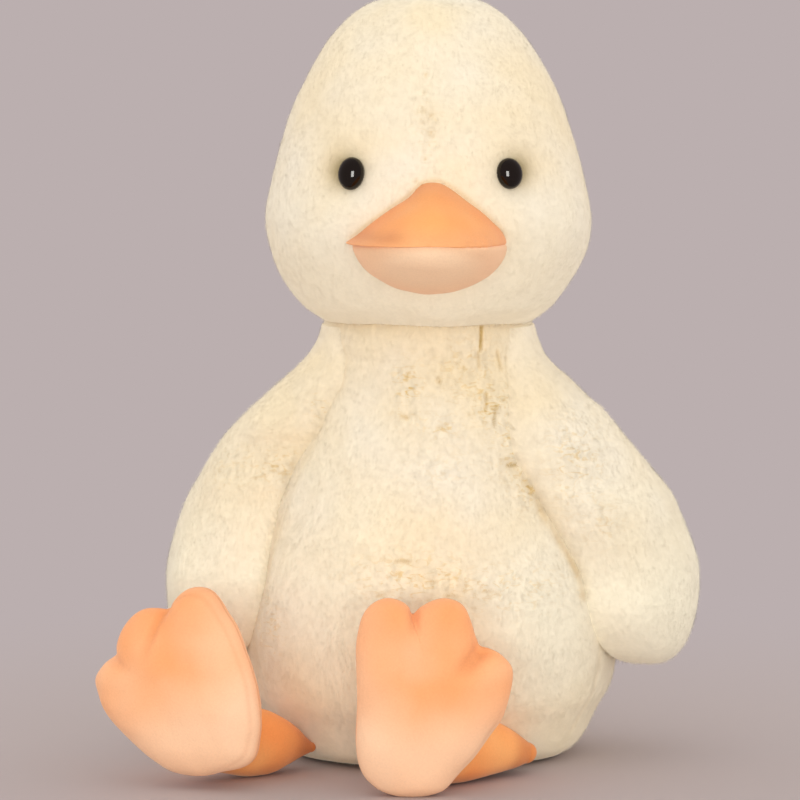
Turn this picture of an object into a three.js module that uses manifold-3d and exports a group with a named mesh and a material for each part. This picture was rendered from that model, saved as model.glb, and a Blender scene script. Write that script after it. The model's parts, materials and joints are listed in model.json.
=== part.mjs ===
// A seated plush duck toy. Pile-fabric panels cover fibre filling, a pouch of pellets weights the seat,
// and the head, wings, legs and feet are separate stuffed pieces that hinge at their seams.
// Millimetres, +Z up. The duck looks along -Y, and its left side is +X. The origin is the middle of
// the flat seat, on the surface that the toy sits on.
import * as THREE from "three";
import { mergeVertices } from "three/addons/utils/BufferGeometryUtils.js";
import Module from "manifold-3d";

const wasm = await Module();
wasm.setup();

// Fabric and fit
const pileThickness = 4; // pile fabric with its pile pressed flat
const suedeThickness = 1.8; // brushed suedette of the bill, legs and feet
const pouchThickness = 1.2; // cotton of the pellet pouch
const seamGap = 0.3; // between panels that are sewn edge to edge, and between a cover and its filling
const limbGap = 0.6; // between pieces that move against each other
const looseGap = 4.6; // the same, where a limb's root is trimmed to leave it room to swing
const overrun = 400; // how far a cutting block reaches past everything

// Torso: a pear with a flat seat, topped by the round neck that the head rocks on
const torsoWidth = 139;
const torsoDepth = 124;
const seatRadius = 42;
const neckPivotHeight = 146;
const neckRadius = 39.5;
const neckCoverRise = 19; // the torso cover ends this far above the pivot, tucked into the head
const basePanelHeight = 3.5; // the round base panel takes the lowest part of the torso
const sideSeamDepth = 27; // the front panel meets the back panels this far in front of the middle
// Half width as a share of the torso's, and height as a share of the pivot's
const torsoProfileShares = [
  [0.72, 0.014],
  [0.82, 0.058],
  [0.9, 0.12],
  [0.965, 0.185],
  [1.0, 0.29],
  [0.985, 0.4],
  [0.93, 0.51],
  [0.81, 0.69],
  [0.695, 0.83],
  [0.615, 0.93],
];

// Head: an egg with its widest part low, at the cheeks
const headWidth = 118.5;
const headDepth = 106;
const headHeight = 118;
const headLift = 11.5; // from the neck's pivot up to the chin
const headForward = 5; // the head's middle stands this far in front of the neck's
const headBase = neckPivotHeight + headLift;
// Half width as a share of the head's, and height as a share of the head's
const headProfileShares = [
  [0.64, 0.0],
  [0.79, 0.063],
  [0.948, 0.187],
  [1.0, 0.305],
  [0.956, 0.434],
  [0.855, 0.617],
  [0.745, 0.743],
  [0.595, 0.867],
  [0.4, 0.96],
  [0.2, 0.993],
];

// Neck thread that gathers the torso cover's upper hem, inside the head
const threadThickness = 1.6;

// Eyes: round plastic buttons whose ribbed posts are held by a push-on washer inside the head
const eyeDiameter = 12;
const eyeRise = 5;
const eyeRim = 1.2;
const eyeSink = 1.8; // how deep the button sits in the pile
const eyeSpacing = 56;
const eyeLift = 55; // from the chin up to the eyes
const eyeHeight = headBase + eyeLift;
const postDiameter = 4;
const postLength = 12;
const washerDiameter = 14;
const washerThickness = 1.6;
const washerDepth = 4.6; // from the head's surface to the washer

// Bill: a pointed upper half over a round, smaller lower half
const billWidth = 57;
const billLength = 29; // how far the upper half stands out of the face, at the mouth
const billRise = 22.5;
const billDrop = 19;
const lowerBillWidth = 54;
const lowerBillLength = 23;
const mouthLift = 31; // from the chin up to the mouth
const mouthHeight = headBase + mouthLift;
const mouthGap = 0.8;
const billRoot = 17; // how far the bill's form runs back into the head, before the head cuts it
const upperBillSquareness = 1.32; // under 2 draws a section towards a diamond
const lowerBillSquareness = 2.1;

// Wings: stuffed paddles that lie against the torso's sides
const wingTopLift = 4; // from the neck's pivot up to the wing's top
const wingTip = 33;
const wingDepth = 72;
const wingBreadth = 40; // as seen from the front
const wingOverhang = 9.5; // from the torso's side out to the middle of the wing's broad end
const wingSetForward = 4;
const wingMidSeam = 13; // the wing's edge seam lies this far out from the torso
const rightWingShare = 0.965; // the right wing lies a little closer to the torso
const wingTop = neckPivotHeight + wingTopLift;
const wingReach = torsoWidth / 2 + wingOverhang;
// Height as a share of the wing's, its middle as a share of the reach, half breadth, half depth
const wingShares = [
  [0.03, 1.03, 0.34, 0.36],
  [0.12, 1.015, 0.84, 0.72],
  [0.21, 1.0, 1.0, 0.9],
  [0.33, 0.972, 0.98, 0.99],
  [0.5, 0.87, 0.95, 1.0],
  [0.65, 0.74, 0.93, 0.94],
  [0.8, 0.585, 0.84, 0.78],
  [0.92, 0.5, 0.54, 0.5],
  [0.985, 0.47, 0.24, 0.24],
];

// Tail: a small stuffed wedge low on the back
const tailWidth = 34;
const tailThickness = 20;
const tailLength = 46;
const tailHeight = 38;
const tailPitch = THREE.MathUtils.degToRad(38);
const tailInset = 12;

// Legs: stuffed tubes with a round end at the hip and at the ankle
const hipRadius = 10.5;
const ankleRadius = 12;
const legLength = 35; // from the middle of one round end to the middle of the other
const hipSpread = THREE.MathUtils.degToRad(36.5); // where the hips sit, round from straight ahead
const hipTwist = THREE.MathUtils.degToRad(9.5); // the soft seat lets both hips turn to the right
const hipInset = 5; // how deep the round end sits in the torso

// Feet: flat stuffed webs with three round toes, sole towards the front
const footLength = 66.5;
const footWidth = 54;
const footThickness = 19;
const ankleInset = 4; // how deep the leg's round end sits in the foot
const heelFlat = 0.5; // how deep the heel is cut flat by the ground
// The outlines of the feet from their middles, outwards and up, as shares of a foot's width and
// length. The left foot's toes stand apart, and the right one's are pressed together.
const leftFootShares = [
  [0.5, 0.135],
  [0.486, 0.174],
  [0.434, 0.221],
  [0.357, 0.245],
  [0.289, 0.26],
  [0.26, 0.308],
  [0.237, 0.386],
  [0.197, 0.457],
  [0.135, 0.496],
  [0.058, 0.511],
  [-0.019, 0.499],
  [-0.096, 0.465],
  [-0.139, 0.433],
  [-0.164, 0.465],
  [-0.221, 0.496],
  [-0.308, 0.507],
  [-0.395, 0.48],
  [-0.454, 0.426],
  [-0.485, 0.339],
  [-0.495, 0.2],
  [-0.5, 0.0],
  [-0.495, -0.244],
  [-0.472, -0.337],
  [-0.414, -0.408],
  [-0.347, -0.456],
  [-0.25, -0.494],
  [-0.154, -0.51],
  [-0.058, -0.507],
  [0.039, -0.478],
  [0.174, -0.384],
  [0.27, -0.306],
  [0.37, -0.195],
  [0.444, -0.1],
  [0.482, 0.03],
];
const rightFootShares = [
  [0.525, 0.156],
  [0.495, 0.191],
  [0.431, 0.219],
  [0.357, 0.236],
  [0.324, 0.25],
  [0.285, 0.303],
  [0.223, 0.372],
  [0.147, 0.422],
  [0.059, 0.446],
  [-0.039, 0.438],
  [-0.123, 0.418],
  [-0.174, 0.438],
  [-0.238, 0.46],
  [-0.309, 0.469],
  [-0.372, 0.459],
  [-0.427, 0.429],
  [-0.461, 0.377],
  [-0.495, 0.296],
  [-0.526, 0.207],
  [-0.546, 0.05],
  [-0.547, -0.101],
  [-0.525, -0.21],
  [-0.487, -0.333],
  [-0.453, -0.391],
  [-0.386, -0.466],
  [-0.296, -0.5],
  [-0.164, -0.506],
  [-0.015, -0.488],
  [0.086, -0.46],
  [0.18, -0.418],
  [0.268, -0.356],
  [0.349, -0.278],
  [0.439, -0.168],
  [0.504, -0.047],
  [0.527, 0.065],
];
// Each leg runs out from its hip at an angle from straight ahead. Its foot turns about the
// upright, leans outwards, and may keep its heel off the ground
const leftLeg = {
  side: 1,
  aim: THREE.MathUtils.degToRad(-51),
  footTurn: THREE.MathUtils.degToRad(2),
  footLean: THREE.MathUtils.degToRad(0),
  heelRise: 0,
  footShares: leftFootShares,
};
const rightLeg = {
  side: -1,
  aim: THREE.MathUtils.degToRad(55),
  footTurn: THREE.MathUtils.degToRad(-20),
  footLean: THREE.MathUtils.degToRad(18),
  heelRise: 4.7,
  footShares: rightFootShares,
};

// How far the limbs swing, which sets how much of their roots is cut away for clearance
const wingLift = THREE.MathUtils.degToRad(65);
const legDrop = THREE.MathUtils.degToRad(80);
const tailSwing = THREE.MathUtils.degToRad(12);
const swingSteps = 2;

// Weighted seat
const pouchRadius = 44;
const pouchHeight = 34;
const pouchMouthRadius = 12;

// How finely each form is drawn: steps round it, and steps from end to end
const torsoSteps = { around: 24, along: 13 };
const headSteps = { around: 24, along: 14 };
const wingSteps = { around: 16, along: 9 };
const coreSteps = { around: 14, along: 8 };
const looseSteps = { around: 12, along: 8 };
const smallSteps = { around: 10, along: 6 };
const billSteps = { around: 18, along: 8 };
const footSteps = { around: 28, along: 5 };
const footCoreSteps = { around: 14, along: 4 };
const neckBallSteps = 28;
const limbBallSteps = 16;
const roundSteps = 14;
const curveSteps = 2;
const threadSteps = 28;
const threadSides = 5;

const pileMaterial = new THREE.MeshStandardMaterial({ color: 0xf3e2c6, roughness: 0.95 });
const suedeMaterial = new THREE.MeshStandardMaterial({ color: 0xfdb57e, roughness: 0.85 });
const eyeMaterial = new THREE.MeshStandardMaterial({ color: 0x0d0b0a, roughness: 0.12 });
const fibreMaterial = new THREE.MeshStandardMaterial({ color: 0xf7f6f2, roughness: 1 });
const pouchMaterial = new THREE.MeshStandardMaterial({ color: 0xe9e4d8, roughness: 0.9 });
const pelletMaterial = new THREE.MeshStandardMaterial({ color: 0xdfe3e6, roughness: 0.5 });
const washerMaterial = new THREE.MeshStandardMaterial({ color: 0xe6e6e2, roughness: 0.45 });
const threadMaterial = new THREE.MeshStandardMaterial({ color: 0xe9d9b8, roughness: 0.8 });

// A solid from a closed geometry, with its shared corners merged.
function solidOf(geometry) {
  const bare = geometry.clone();
  bare.deleteAttribute("normal");
  bare.deleteAttribute("uv");
  const merged = mergeVertices(bare);
  return new wasm.Manifold(
    new wasm.Mesh({
      numProp: 3,
      vertProperties: merged.attributes.position.array,
      triVerts: new Uint32Array(merged.index.array),
    }),
  );
}

// Points of a circle of radius 1, anticlockwise from above.
function circlePoints(around) {
  const points = [];
  for (let i = 0; i < around; i += 1) {
    const turn = (2 * Math.PI * i) / around;
    points.push(new THREE.Vector2(Math.cos(turn), Math.sin(turn)));
  }
  return points;
}

// A closed stuffed form. Each ring is the outline scaled by a and b, about x and y, at height z,
// from the lowest to the highest. The first and last rings close to a point.
function stuffedForm(rings, outline) {
  const around = outline.length;
  const last = rings.length - 1;
  const positions = [];
  const corners = [];
  rings.forEach((ring, level) => {
    const isEnd = level === 0 || level === last;
    const points = isEnd ? [new THREE.Vector2()] : outline;
    points.forEach((p) => positions.push(ring.x + ring.a * p.x, ring.y + ring.b * p.y, ring.z));
  });
  const at = (level, i) => 1 + (level - 1) * around + (i % around);
  const top = 1 + (last - 1) * around;
  for (let i = 0; i < around; i += 1) {
    corners.push(0, at(1, i + 1), at(1, i));
    corners.push(top, at(last - 1, i), at(last - 1, i + 1));
    for (let level = 1; level < last - 1; level += 1) {
      corners.push(at(level, i), at(level, i + 1), at(level + 1, i + 1));
      corners.push(at(level, i), at(level + 1, i + 1), at(level + 1, i));
    }
  }
  const geometry = new THREE.BufferGeometry();
  geometry.setAttribute("position", new THREE.Float32BufferAttribute(positions, 3));
  geometry.setIndex(corners);
  return solidOf(geometry);
}

// Points along a profile and the direction that faces out of it, at even steps.
function profileSteps(profile, count) {
  const steps = [];
  for (let i = 0; i <= count; i += 1) {
    const tangent = profile.getTangentAt(i / count);
    const point = profile.getPointAt(i / count);
    steps.push({ radius: point.x, height: point.y, out: tangent.y, up: -tangent.x });
  }
  return steps;
}

// A profile's radius at a height.
function radiusAt(profile, height) {
  const points = profile.getPoints(roundSteps);
  const above = points.findIndex((p, i) => i > 0 && p.y > height);
  const low = points[above - 1];
  const high = points[above];
  return THREE.MathUtils.mapLinear(height, low.y, high.y, low.x, high.x);
}

const box = (low, high) => {
  const size = high.clone().sub(low);
  const middle = low.clone().add(high).divideScalar(2);
  const geometry = new THREE.BoxGeometry(size.x, size.y, size.z);
  return solidOf(geometry.translate(middle.x, middle.y, middle.z));
};

// A block that holds everything past a value along one axis, on the side that the sign gives.
function halfSpace(axis, value, sign) {
  const low = new THREE.Vector3(-overrun, -overrun, -overrun);
  const high = new THREE.Vector3(overrun, overrun, overrun);
  (sign > 0 ? low : high)[axis] = value;
  return box(low, high);
}

const ball = (centre, radius, steps) => {
  const geometry = new THREE.SphereGeometry(radius, steps, steps / 2);
  return solidOf(geometry.rotateX(Math.PI / 2).translate(centre.x, centre.y, centre.z));
};

// A solid turned so that its +Z points along a direction, and moved to a place.
function aimed(solid, direction, place) {
  const turn = new THREE.Quaternion().setFromUnitVectors(new THREE.Vector3(0, 0, 1), direction);
  const matrix = new THREE.Matrix4().compose(place, turn, new THREE.Vector3(1, 1, 1));
  return solid.transform(matrix.elements);
}

const rod = (radius, from, to) => {
  const geometry = new THREE.CylinderGeometry(radius, radius, to - from, roundSteps);
  geometry.rotateX(Math.PI / 2).translate(0, 0, (from + to) / 2);
  return solidOf(geometry);
};

// What a limb has to clear: a solid at rest, joined with copies of a looser one that are turned
// about an axis through a place, by even steps up to an angle. Cut from a limb, it leaves the limb
// room to swing the other way.
function swept(solid, loose, place, axis, angle) {
  let whole = solid;
  for (let i = 1; i <= swingSteps; i += 1) {
    const matrix = new THREE.Matrix4()
      .makeTranslation(place)
      .multiply(new THREE.Matrix4().makeRotationAxis(axis, (angle * i) / swingSteps))
      .multiply(new THREE.Matrix4().makeTranslation(place.clone().negate()));
    whole = whole.add(loose.transform(matrix.elements));
  }
  return whole;
}

// The largest of a solid's separate bodies.
function largestOf(solid) {
  return solid.decompose().reduce((kept, body) => (body.volume() > kept.volume() ? body : kept));
}

// Torso form. Its section turns from oval at the belly to round at the neck, and grow moves the
// surface outwards.
const neckPivot = new THREE.Vector3(0, 0, neckPivotHeight);
const torsoProfile = new THREE.Path();
torsoProfile.moveTo(0, 0);
torsoProfile.lineTo(seatRadius, 0);
const torsoPoints = torsoProfileShares.map(
  ([width, height]) => new THREE.Vector2((width * torsoWidth) / 2, height * neckPivotHeight),
);
torsoProfile.splineThru([...torsoPoints, new THREE.Vector2(neckRadius, neckPivotHeight)]);
torsoProfile.absarc(0, neckPivotHeight, neckRadius, 0, Math.PI / 2);

function torsoFlattening(height) {
  const share = THREE.MathUtils.smoothstep(height, neckPivotHeight / 2, neckPivotHeight);
  return THREE.MathUtils.lerp(torsoDepth / torsoWidth, 1, share);
}

function torsoForm(grow, steps) {
  const rings = profileSteps(torsoProfile, steps.along).map((s) => ({
    x: 0,
    y: 0,
    z: s.height + grow * s.up,
    a: s.radius + grow * s.out,
    b: s.radius * torsoFlattening(s.height) + grow * s.out,
  }));
  return stuffedForm(rings, circlePoints(steps.around));
}

// Head form
const headProfile = new THREE.Path();
headProfile.moveTo(0, 0);
const headPoints = headProfileShares.map(
  ([width, height]) => new THREE.Vector2((width * headWidth) / 2, height * headHeight),
);
headProfile.lineTo(headPoints[0].x, headPoints[0].y);
headProfile.splineThru([...headPoints.slice(1), new THREE.Vector2(0, headHeight)]);

function headForm(grow, steps) {
  const rings = profileSteps(headProfile, steps.along).map((s) => ({
    x: 0,
    y: -headForward,
    z: headBase + s.height + grow * s.up,
    a: s.radius + grow * s.out,
    b: (s.radius * headDepth) / headWidth + grow * s.out,
  }));
  return stuffedForm(rings, circlePoints(steps.around));
}

// The point of the head's front at a place across and a height, and the direction it faces.
function facePoint(across, height) {
  const radius = radiusAt(headProfile, height - headBase);
  const depth = Math.sqrt(radius ** 2 - across ** 2) * (headDepth / headWidth);
  return new THREE.Vector3(across, -headForward - depth, height);
}

function faceDirection(across, height) {
  const step = eyeDiameter / 2;
  const sideways = facePoint(across + step, height).sub(facePoint(across - step, height));
  const upwards = facePoint(across, height + step).sub(facePoint(across, height - step));
  return sideways.cross(upwards).normalize();
}

const duck = new THREE.Group();
duck.name = "plush_duck";

// A group at a joint, inside its parent's group.
function jointGroup(parent, place) {
  const group = new THREE.Group();
  parent.updateWorldMatrix(true, false);
  group.position.copy(parent.worldToLocal(place.clone()));
  parent.add(group);
  return group;
}

// Adds a solid, given in the whole part's frame, to a group as a named mesh.
function addPiece(group, name, solid, material) {
  const mesh = solid.getMesh();
  const geometry = new THREE.BufferGeometry();
  const positions = new Float32Array(mesh.numVert * 3);
  for (let i = 0; i < mesh.numVert; i += 1) {
    positions.set(mesh.vertProperties.subarray(i * mesh.numProp, i * mesh.numProp + 3), i * 3);
  }
  geometry.setAttribute("position", new THREE.BufferAttribute(positions, 3));
  geometry.setIndex(new THREE.BufferAttribute(mesh.triVerts, 1));
  group.updateWorldMatrix(true, false);
  geometry.applyMatrix4(group.matrixWorld.clone().invert());
  geometry.computeVertexNormals();
  const piece = new THREE.Mesh(geometry, material);
  piece.name = name;
  group.add(piece);
}

// Legs are laid out first, because their round ends cut sockets in the torso and the feet.
function layOutLeg(leg) {
  const radius = radiusAt(torsoProfile, hipRadius) + hipRadius - hipInset;
  const turn = leg.side * hipSpread - hipTwist;
  const forward = radius * torsoFlattening(hipRadius) * Math.cos(turn);
  const hip = new THREE.Vector3(radius * Math.sin(turn), -forward, hipRadius);
  const reach = new THREE.Vector3(leg.side * Math.sin(leg.aim), -Math.cos(leg.aim), 0);
  const ankle = hip.clone().addScaledVector(reach, legLength);
  ankle.z = ankleRadius;
  const hinge = new THREE.Vector3(0, 0, 1).cross(reach);
  const facing = new THREE.Vector3(Math.sin(leg.footTurn), -Math.cos(leg.footTurn), 0);
  return { ...leg, hip, ankle, hinge, facing };
}

const legs = { left: layOutLeg(leftLeg), right: layOutLeg(rightLeg) };
const hipSockets = Object.values(legs).map((leg) => ball(leg.hip, hipRadius + limbGap, limbBallSteps));

// Torso
const torsoOuter = torsoForm(0, torsoSteps);
const torsoCavity = torsoForm(-pileThickness, coreSteps);
const neckHem = halfSpace("z", neckPivotHeight + neckCoverRise, 1);
const withoutSockets = (solid) => hipSockets.reduce((rest, socket) => rest.subtract(socket), solid);
const torsoCover = withoutSockets(torsoOuter.subtract(torsoCavity).subtract(neckHem));
const basePanel = torsoCover.intersect(halfSpace("z", basePanelHeight, -1));
const aboveBase = torsoCover.intersect(halfSpace("z", basePanelHeight + seamGap, 1));
const frontPanel = aboveBase.intersect(halfSpace("y", -sideSeamDepth, -1));
const backPanels = aboveBase.intersect(halfSpace("y", seamGap - sideSeamDepth, 1));
const leftHalf = halfSpace("x", seamGap / 2, 1);
const rightHalf = halfSpace("x", -seamGap / 2, -1);
const torsoGroup = jointGroup(duck, new THREE.Vector3());
addPiece(torsoGroup, "torso_base_panel", basePanel, pileMaterial);
addPiece(torsoGroup, "torso_front_panel", frontPanel, pileMaterial);
addPiece(torsoGroup, "torso_back_left_panel", backPanels.intersect(leftHalf), pileMaterial);
addPiece(torsoGroup, "torso_back_right_panel", backPanels.intersect(rightHalf), pileMaterial);

// A pouch form: a low bag that stands on the base panel and is gathered at the top.
function pouchForm(grow) {
  const steps = [];
  const foot = pileThickness + seamGap;
  for (let i = 0; i <= smallSteps.along; i += 1) {
    const turn = (Math.PI * i) / smallSteps.along;
    steps.push({
      x: 0,
      y: 0,
      z: foot + (pouchHeight / 2) * (1 - Math.cos(turn)) - grow * Math.cos(turn),
      a: (pouchRadius + grow) * Math.sin(turn) ** (1 / 2),
      b: (pouchRadius * (torsoDepth / torsoWidth) + grow) * Math.sin(turn) ** (1 / 2),
    });
  }
  return stuffedForm(steps, circlePoints(coreSteps.around));
}

const pouchMouth = rod(pouchMouthRadius, pileThickness + pouchHeight / 2, overrun);
const pouch = pouchForm(0).subtract(pouchForm(-pouchThickness)).subtract(pouchMouth);
const torsoFilling = withoutSockets(
  torsoForm(-pileThickness - seamGap, coreSteps).subtract(pouchForm(limbGap)),
);
addPiece(torsoGroup, "torso_filling", largestOf(torsoFilling), fibreMaterial);
addPiece(torsoGroup, "pellet_pouch", pouch, pouchMaterial);
addPiece(torsoGroup, "pellets", pouchForm(-pouchThickness - seamGap), pelletMaterial);

// Neck thread: a ring on the filling's dome, just above the hem of the torso cover
const threadRise = neckCoverRise + seamGap + threadThickness / 2;
const threadReach = neckRadius - pileThickness + threadThickness / 2;
const threadRing = new THREE.TorusGeometry(
  Math.sqrt(threadReach ** 2 - threadRise ** 2),
  threadThickness / 2,
  threadSides,
  threadSteps,
);
threadRing.translate(0, 0, neckPivotHeight + threadRise);
const neckGroup = jointGroup(torsoGroup, neckPivot);
addPiece(neckGroup, "neck_thread", solidOf(threadRing), threadMaterial);

// Eyes
const eyeProfile = new THREE.Path();
eyeProfile.moveTo(0, -postLength);
eyeProfile.lineTo(postDiameter / 2, -postLength);
eyeProfile.lineTo(postDiameter / 2, 0);
eyeProfile.lineTo(eyeDiameter / 2, 0);
eyeProfile.lineTo(eyeDiameter / 2, eyeRim);
eyeProfile.absellipse(0, eyeRim, eyeDiameter / 2, eyeRise - eyeRim, 0, Math.PI / 2);

function layOutEye(side) {
  const across = (side * eyeSpacing) / 2;
  const out = faceDirection(across, eyeHeight);
  const seat = facePoint(across, eyeHeight).addScaledVector(out, -eyeSink);
  const inward = out.clone().negate();
  const surfaceToWasher = washerDepth - eyeSink;
  const lathe = new THREE.LatheGeometry(eyeProfile.getPoints(curveSteps), roundSteps);
  const button = solidOf(lathe.rotateX(Math.PI / 2));
  const washerFrom = surfaceToWasher;
  const washerTo = surfaceToWasher + washerThickness;
  const pocket = rod(eyeDiameter / 2 + seamGap, -overrun, seamGap)
    .add(rod(postDiameter / 2 + seamGap, -overrun, postLength + seamGap))
    .add(rod(washerDiameter / 2 + seamGap, washerFrom - seamGap, washerTo + seamGap));
  const washer = rod(washerDiameter / 2, washerFrom, washerTo).subtract(
    rod(postDiameter / 2 + seamGap, -overrun, overrun),
  );
  return {
    button: aimed(button, out, seat),
    washer: aimed(washer, inward, seat),
    pocket: aimed(pocket, inward, seat),
  };
}

const eyes = { left: layOutEye(1), right: layOutEye(-1) };

// Head
const neckRecess = ball(neckPivot, neckRadius + limbGap, neckBallSteps);
const headOuter = headForm(0, headSteps);
let headCover = headOuter.subtract(headForm(-pileThickness, coreSteps)).subtract(neckRecess);
let headFilling = headForm(-pileThickness - seamGap, coreSteps).subtract(neckRecess);
Object.values(eyes).forEach((eye) => {
  headCover = headCover.subtract(eye.pocket);
  headFilling = headFilling.subtract(eye.pocket);
});
const headGroup = jointGroup(neckGroup, neckPivot);
addPiece(headGroup, "head_left_panel", headCover.intersect(leftHalf), pileMaterial);
addPiece(headGroup, "head_right_panel", headCover.intersect(rightHalf), pileMaterial);
addPiece(headGroup, "head_filling", largestOf(headFilling), fibreMaterial);
Object.entries(eyes).forEach(([side, eye]) => {
  addPiece(headGroup, `eye_${side}`, eye.button, eyeMaterial);
  addPiece(headGroup, `eye_washer_${side}`, eye.washer, washerMaterial);
});

// Half of the bill: a ball drawn out to the half width, length and height, with its section pulled
// towards a diamond or a square. It is kept on one side of the mouth and outside the head.
const billHeadCutter = headForm(seamGap, headSteps);

function billForm(width, length, height, squareness, shrink) {
  const sphere = new THREE.SphereGeometry(1, billSteps.around, billSteps.along);
  const root = facePoint(0, mouthHeight).y + billRoot;
  const places = sphere.rotateX(Math.PI / 2).getAttribute("position");
  for (let i = 0; i < places.count; i += 1) {
    const unit = new THREE.Vector3().fromBufferAttribute(places, i);
    const flat = Math.hypot(unit.x, unit.y);
    const x = flat > 0 ? Math.abs(unit.x) / flat : 0;
    const z = flat > 0 ? Math.abs(unit.y) / flat : 1;
    const pull = (x ** squareness + z ** squareness) ** (-1 / squareness);
    places.setXYZ(
      i,
      unit.x * pull * (width / 2 - shrink),
      root - unit.z * (billRoot + length - shrink),
      mouthHeight + unit.y * pull * (height - shrink),
    );
  }
  return solidOf(sphere);
}

function billHalf(name, width, length, height, squareness, side) {
  const wall = mouthHeight + (side * mouthGap) / 2;
  const half = (shrink) =>
    billForm(width, length, height, squareness, shrink).intersect(
      halfSpace("z", wall + side * shrink, side),
    );
  const cover = half(0).subtract(half(suedeThickness)).subtract(billHeadCutter);
  const filling = half(suedeThickness + seamGap).subtract(billHeadCutter);
  addPiece(headGroup, `${name}_cover`, largestOf(cover), suedeMaterial);
  addPiece(headGroup, `${name}_filling`, largestOf(filling), fibreMaterial);
}

billHalf("bill_upper", billWidth, billLength, billRise, upperBillSquareness, 1);
billHalf("bill_lower", lowerBillWidth, lowerBillLength, billDrop, lowerBillSquareness, -1);

// Wings
function wingForm(side, shrink, steps) {
  const rise = wingTop - wingTip;
  const reach = wingReach * (side < 0 ? rightWingShare : 1);
  const tip = [0, wingShares[0][1], 0, 0];
  const top = [1, wingShares[wingShares.length - 1][1], 0, 0];
  const rows = [tip, ...wingShares, top];
  const middles = new THREE.SplineCurve(rows.map(([h, m]) => new THREE.Vector2(m, h)));
  const sizes = new THREE.SplineCurve(rows.map(([, , a, b]) => new THREE.Vector2(a, b)));
  const rings = [];
  for (let i = 0; i <= steps.along; i += 1) {
    const middle = middles.getPoint(i / steps.along);
    const size = sizes.getPoint(i / steps.along);
    const inner = 1 - (2 * shrink) / wingBreadth;
    rings.push({
      x: side * middle.x * reach,
      y: -wingSetForward,
      z: (wingTop + wingTip) / 2 + (middle.y - 1 / 2) * rise * (1 - (2 * shrink) / rise),
      a: (size.x * wingBreadth * inner) / 2,
      b: (size.y * (wingDepth - 2 * shrink)) / 2,
    });
  }
  return stuffedForm(rings, circlePoints(steps.around));
}

function addWing(name, side) {
  const shoulder = new THREE.Vector3(side * (neckRadius + limbGap), -wingSetForward, wingTop);
  const lift = new THREE.Vector3(0, side, 0);
  const loose = torsoForm(looseGap, looseSteps).add(headForm(looseGap, looseSteps));
  const swing = swept(torsoForm(limbGap, torsoSteps), loose, shoulder, lift, wingLift);
  const wall = torsoForm(limbGap + pileThickness, looseSteps);
  const cavity = wingForm(side, pileThickness, smallSteps).subtract(wall);
  const cover = wingForm(side, 0, wingSteps).subtract(swing).subtract(cavity);
  const filling = wingForm(side, pileThickness + seamGap, smallSteps)
    .subtract(torsoForm(limbGap + pileThickness + seamGap, looseSteps))
    .subtract(headForm(looseGap, looseSteps));
  const group = jointGroup(torsoGroup, shoulder);
  const inner = cover.intersect(torsoForm(wingMidSeam, looseSteps));
  const outer = cover.subtract(torsoForm(wingMidSeam + seamGap, looseSteps));
  addPiece(group, `${name}_outer_panel`, largestOf(outer), pileMaterial);
  addPiece(group, `${name}_inner_panel`, largestOf(inner), pileMaterial);
  addPiece(group, `${name}_filling`, largestOf(filling), fibreMaterial);
}

addWing("wing_left", 1);
addWing("wing_right", -1);

// Tail
const tailRoot = new THREE.Vector3(
  0,
  radiusAt(torsoProfile, tailHeight) * torsoFlattening(tailHeight),
  tailHeight,
);

function tailForm(shrink) {
  const rings = [];
  for (let i = 0; i <= smallSteps.along; i += 1) {
    const turn = (Math.PI * i) / smallSteps.along;
    rings.push({
      x: 0,
      y: 0,
      z: tailLength / 2 - (tailLength / 2 - shrink) * Math.cos(turn),
      a: (tailWidth / 2 - shrink) * Math.sin(turn) ** (2 / 3),
      b: (tailThickness / 2 - shrink) * Math.sin(turn) ** (2 / 3),
    });
  }
  const out = new THREE.Vector3(0, Math.cos(tailPitch), Math.sin(tailPitch));
  const base = tailRoot.clone().addScaledVector(out, -tailInset);
  return aimed(stuffedForm(rings, circlePoints(smallSteps.around)), out, base);
}

const tailHinge = new THREE.Vector3(1, 0, 0);
const tailGroup = jointGroup(torsoGroup, tailRoot);
const tailBlock = torsoForm(limbGap, torsoSteps);
const tailRoom = swept(tailBlock, tailBlock, tailRoot, tailHinge, tailSwing).add(
  swept(tailBlock, tailBlock, tailRoot, tailHinge, -tailSwing),
);
const tailCover = tailForm(0).subtract(tailForm(pileThickness)).subtract(tailRoom);
const tailFilling = tailForm(pileThickness + seamGap).subtract(tailRoom);
addPiece(tailGroup, "tail_cover", largestOf(tailCover), pileMaterial);
addPiece(tailGroup, "tail_filling", largestOf(tailFilling), fibreMaterial);

// A leg: a tube between two round ends, open at the hip, where its filling goes in.
function legForm(leg, shrink) {
  const run = leg.ankle.clone().sub(leg.hip);
  const profile = new THREE.Path();
  profile.absarc(0, 0, hipRadius - shrink, -Math.PI / 2, 0);
  profile.absarc(0, run.length(), ankleRadius - shrink, 0, Math.PI / 2);
  const lathe = new THREE.LatheGeometry(profile.getPoints(curveSteps), smallSteps.around);
  return aimed(solidOf(lathe.rotateX(Math.PI / 2)), run.normalize(), leg.hip);
}

// The foot's outline as points of a closed curve, anticlockwise seen from the sole.
function footOutline(leg, count) {
  const points = leg.footShares.map(
    ([across, up]) => new THREE.Vector3(leg.side * across * footWidth, up * footLength, 0),
  );
  const curve = new THREE.CatmullRomCurve3(leg.side > 0 ? points : points.reverse(), true);
  return curve.getSpacedPoints(count).slice(0, count).map((p) => new THREE.Vector2(p.x, p.y));
}

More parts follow.
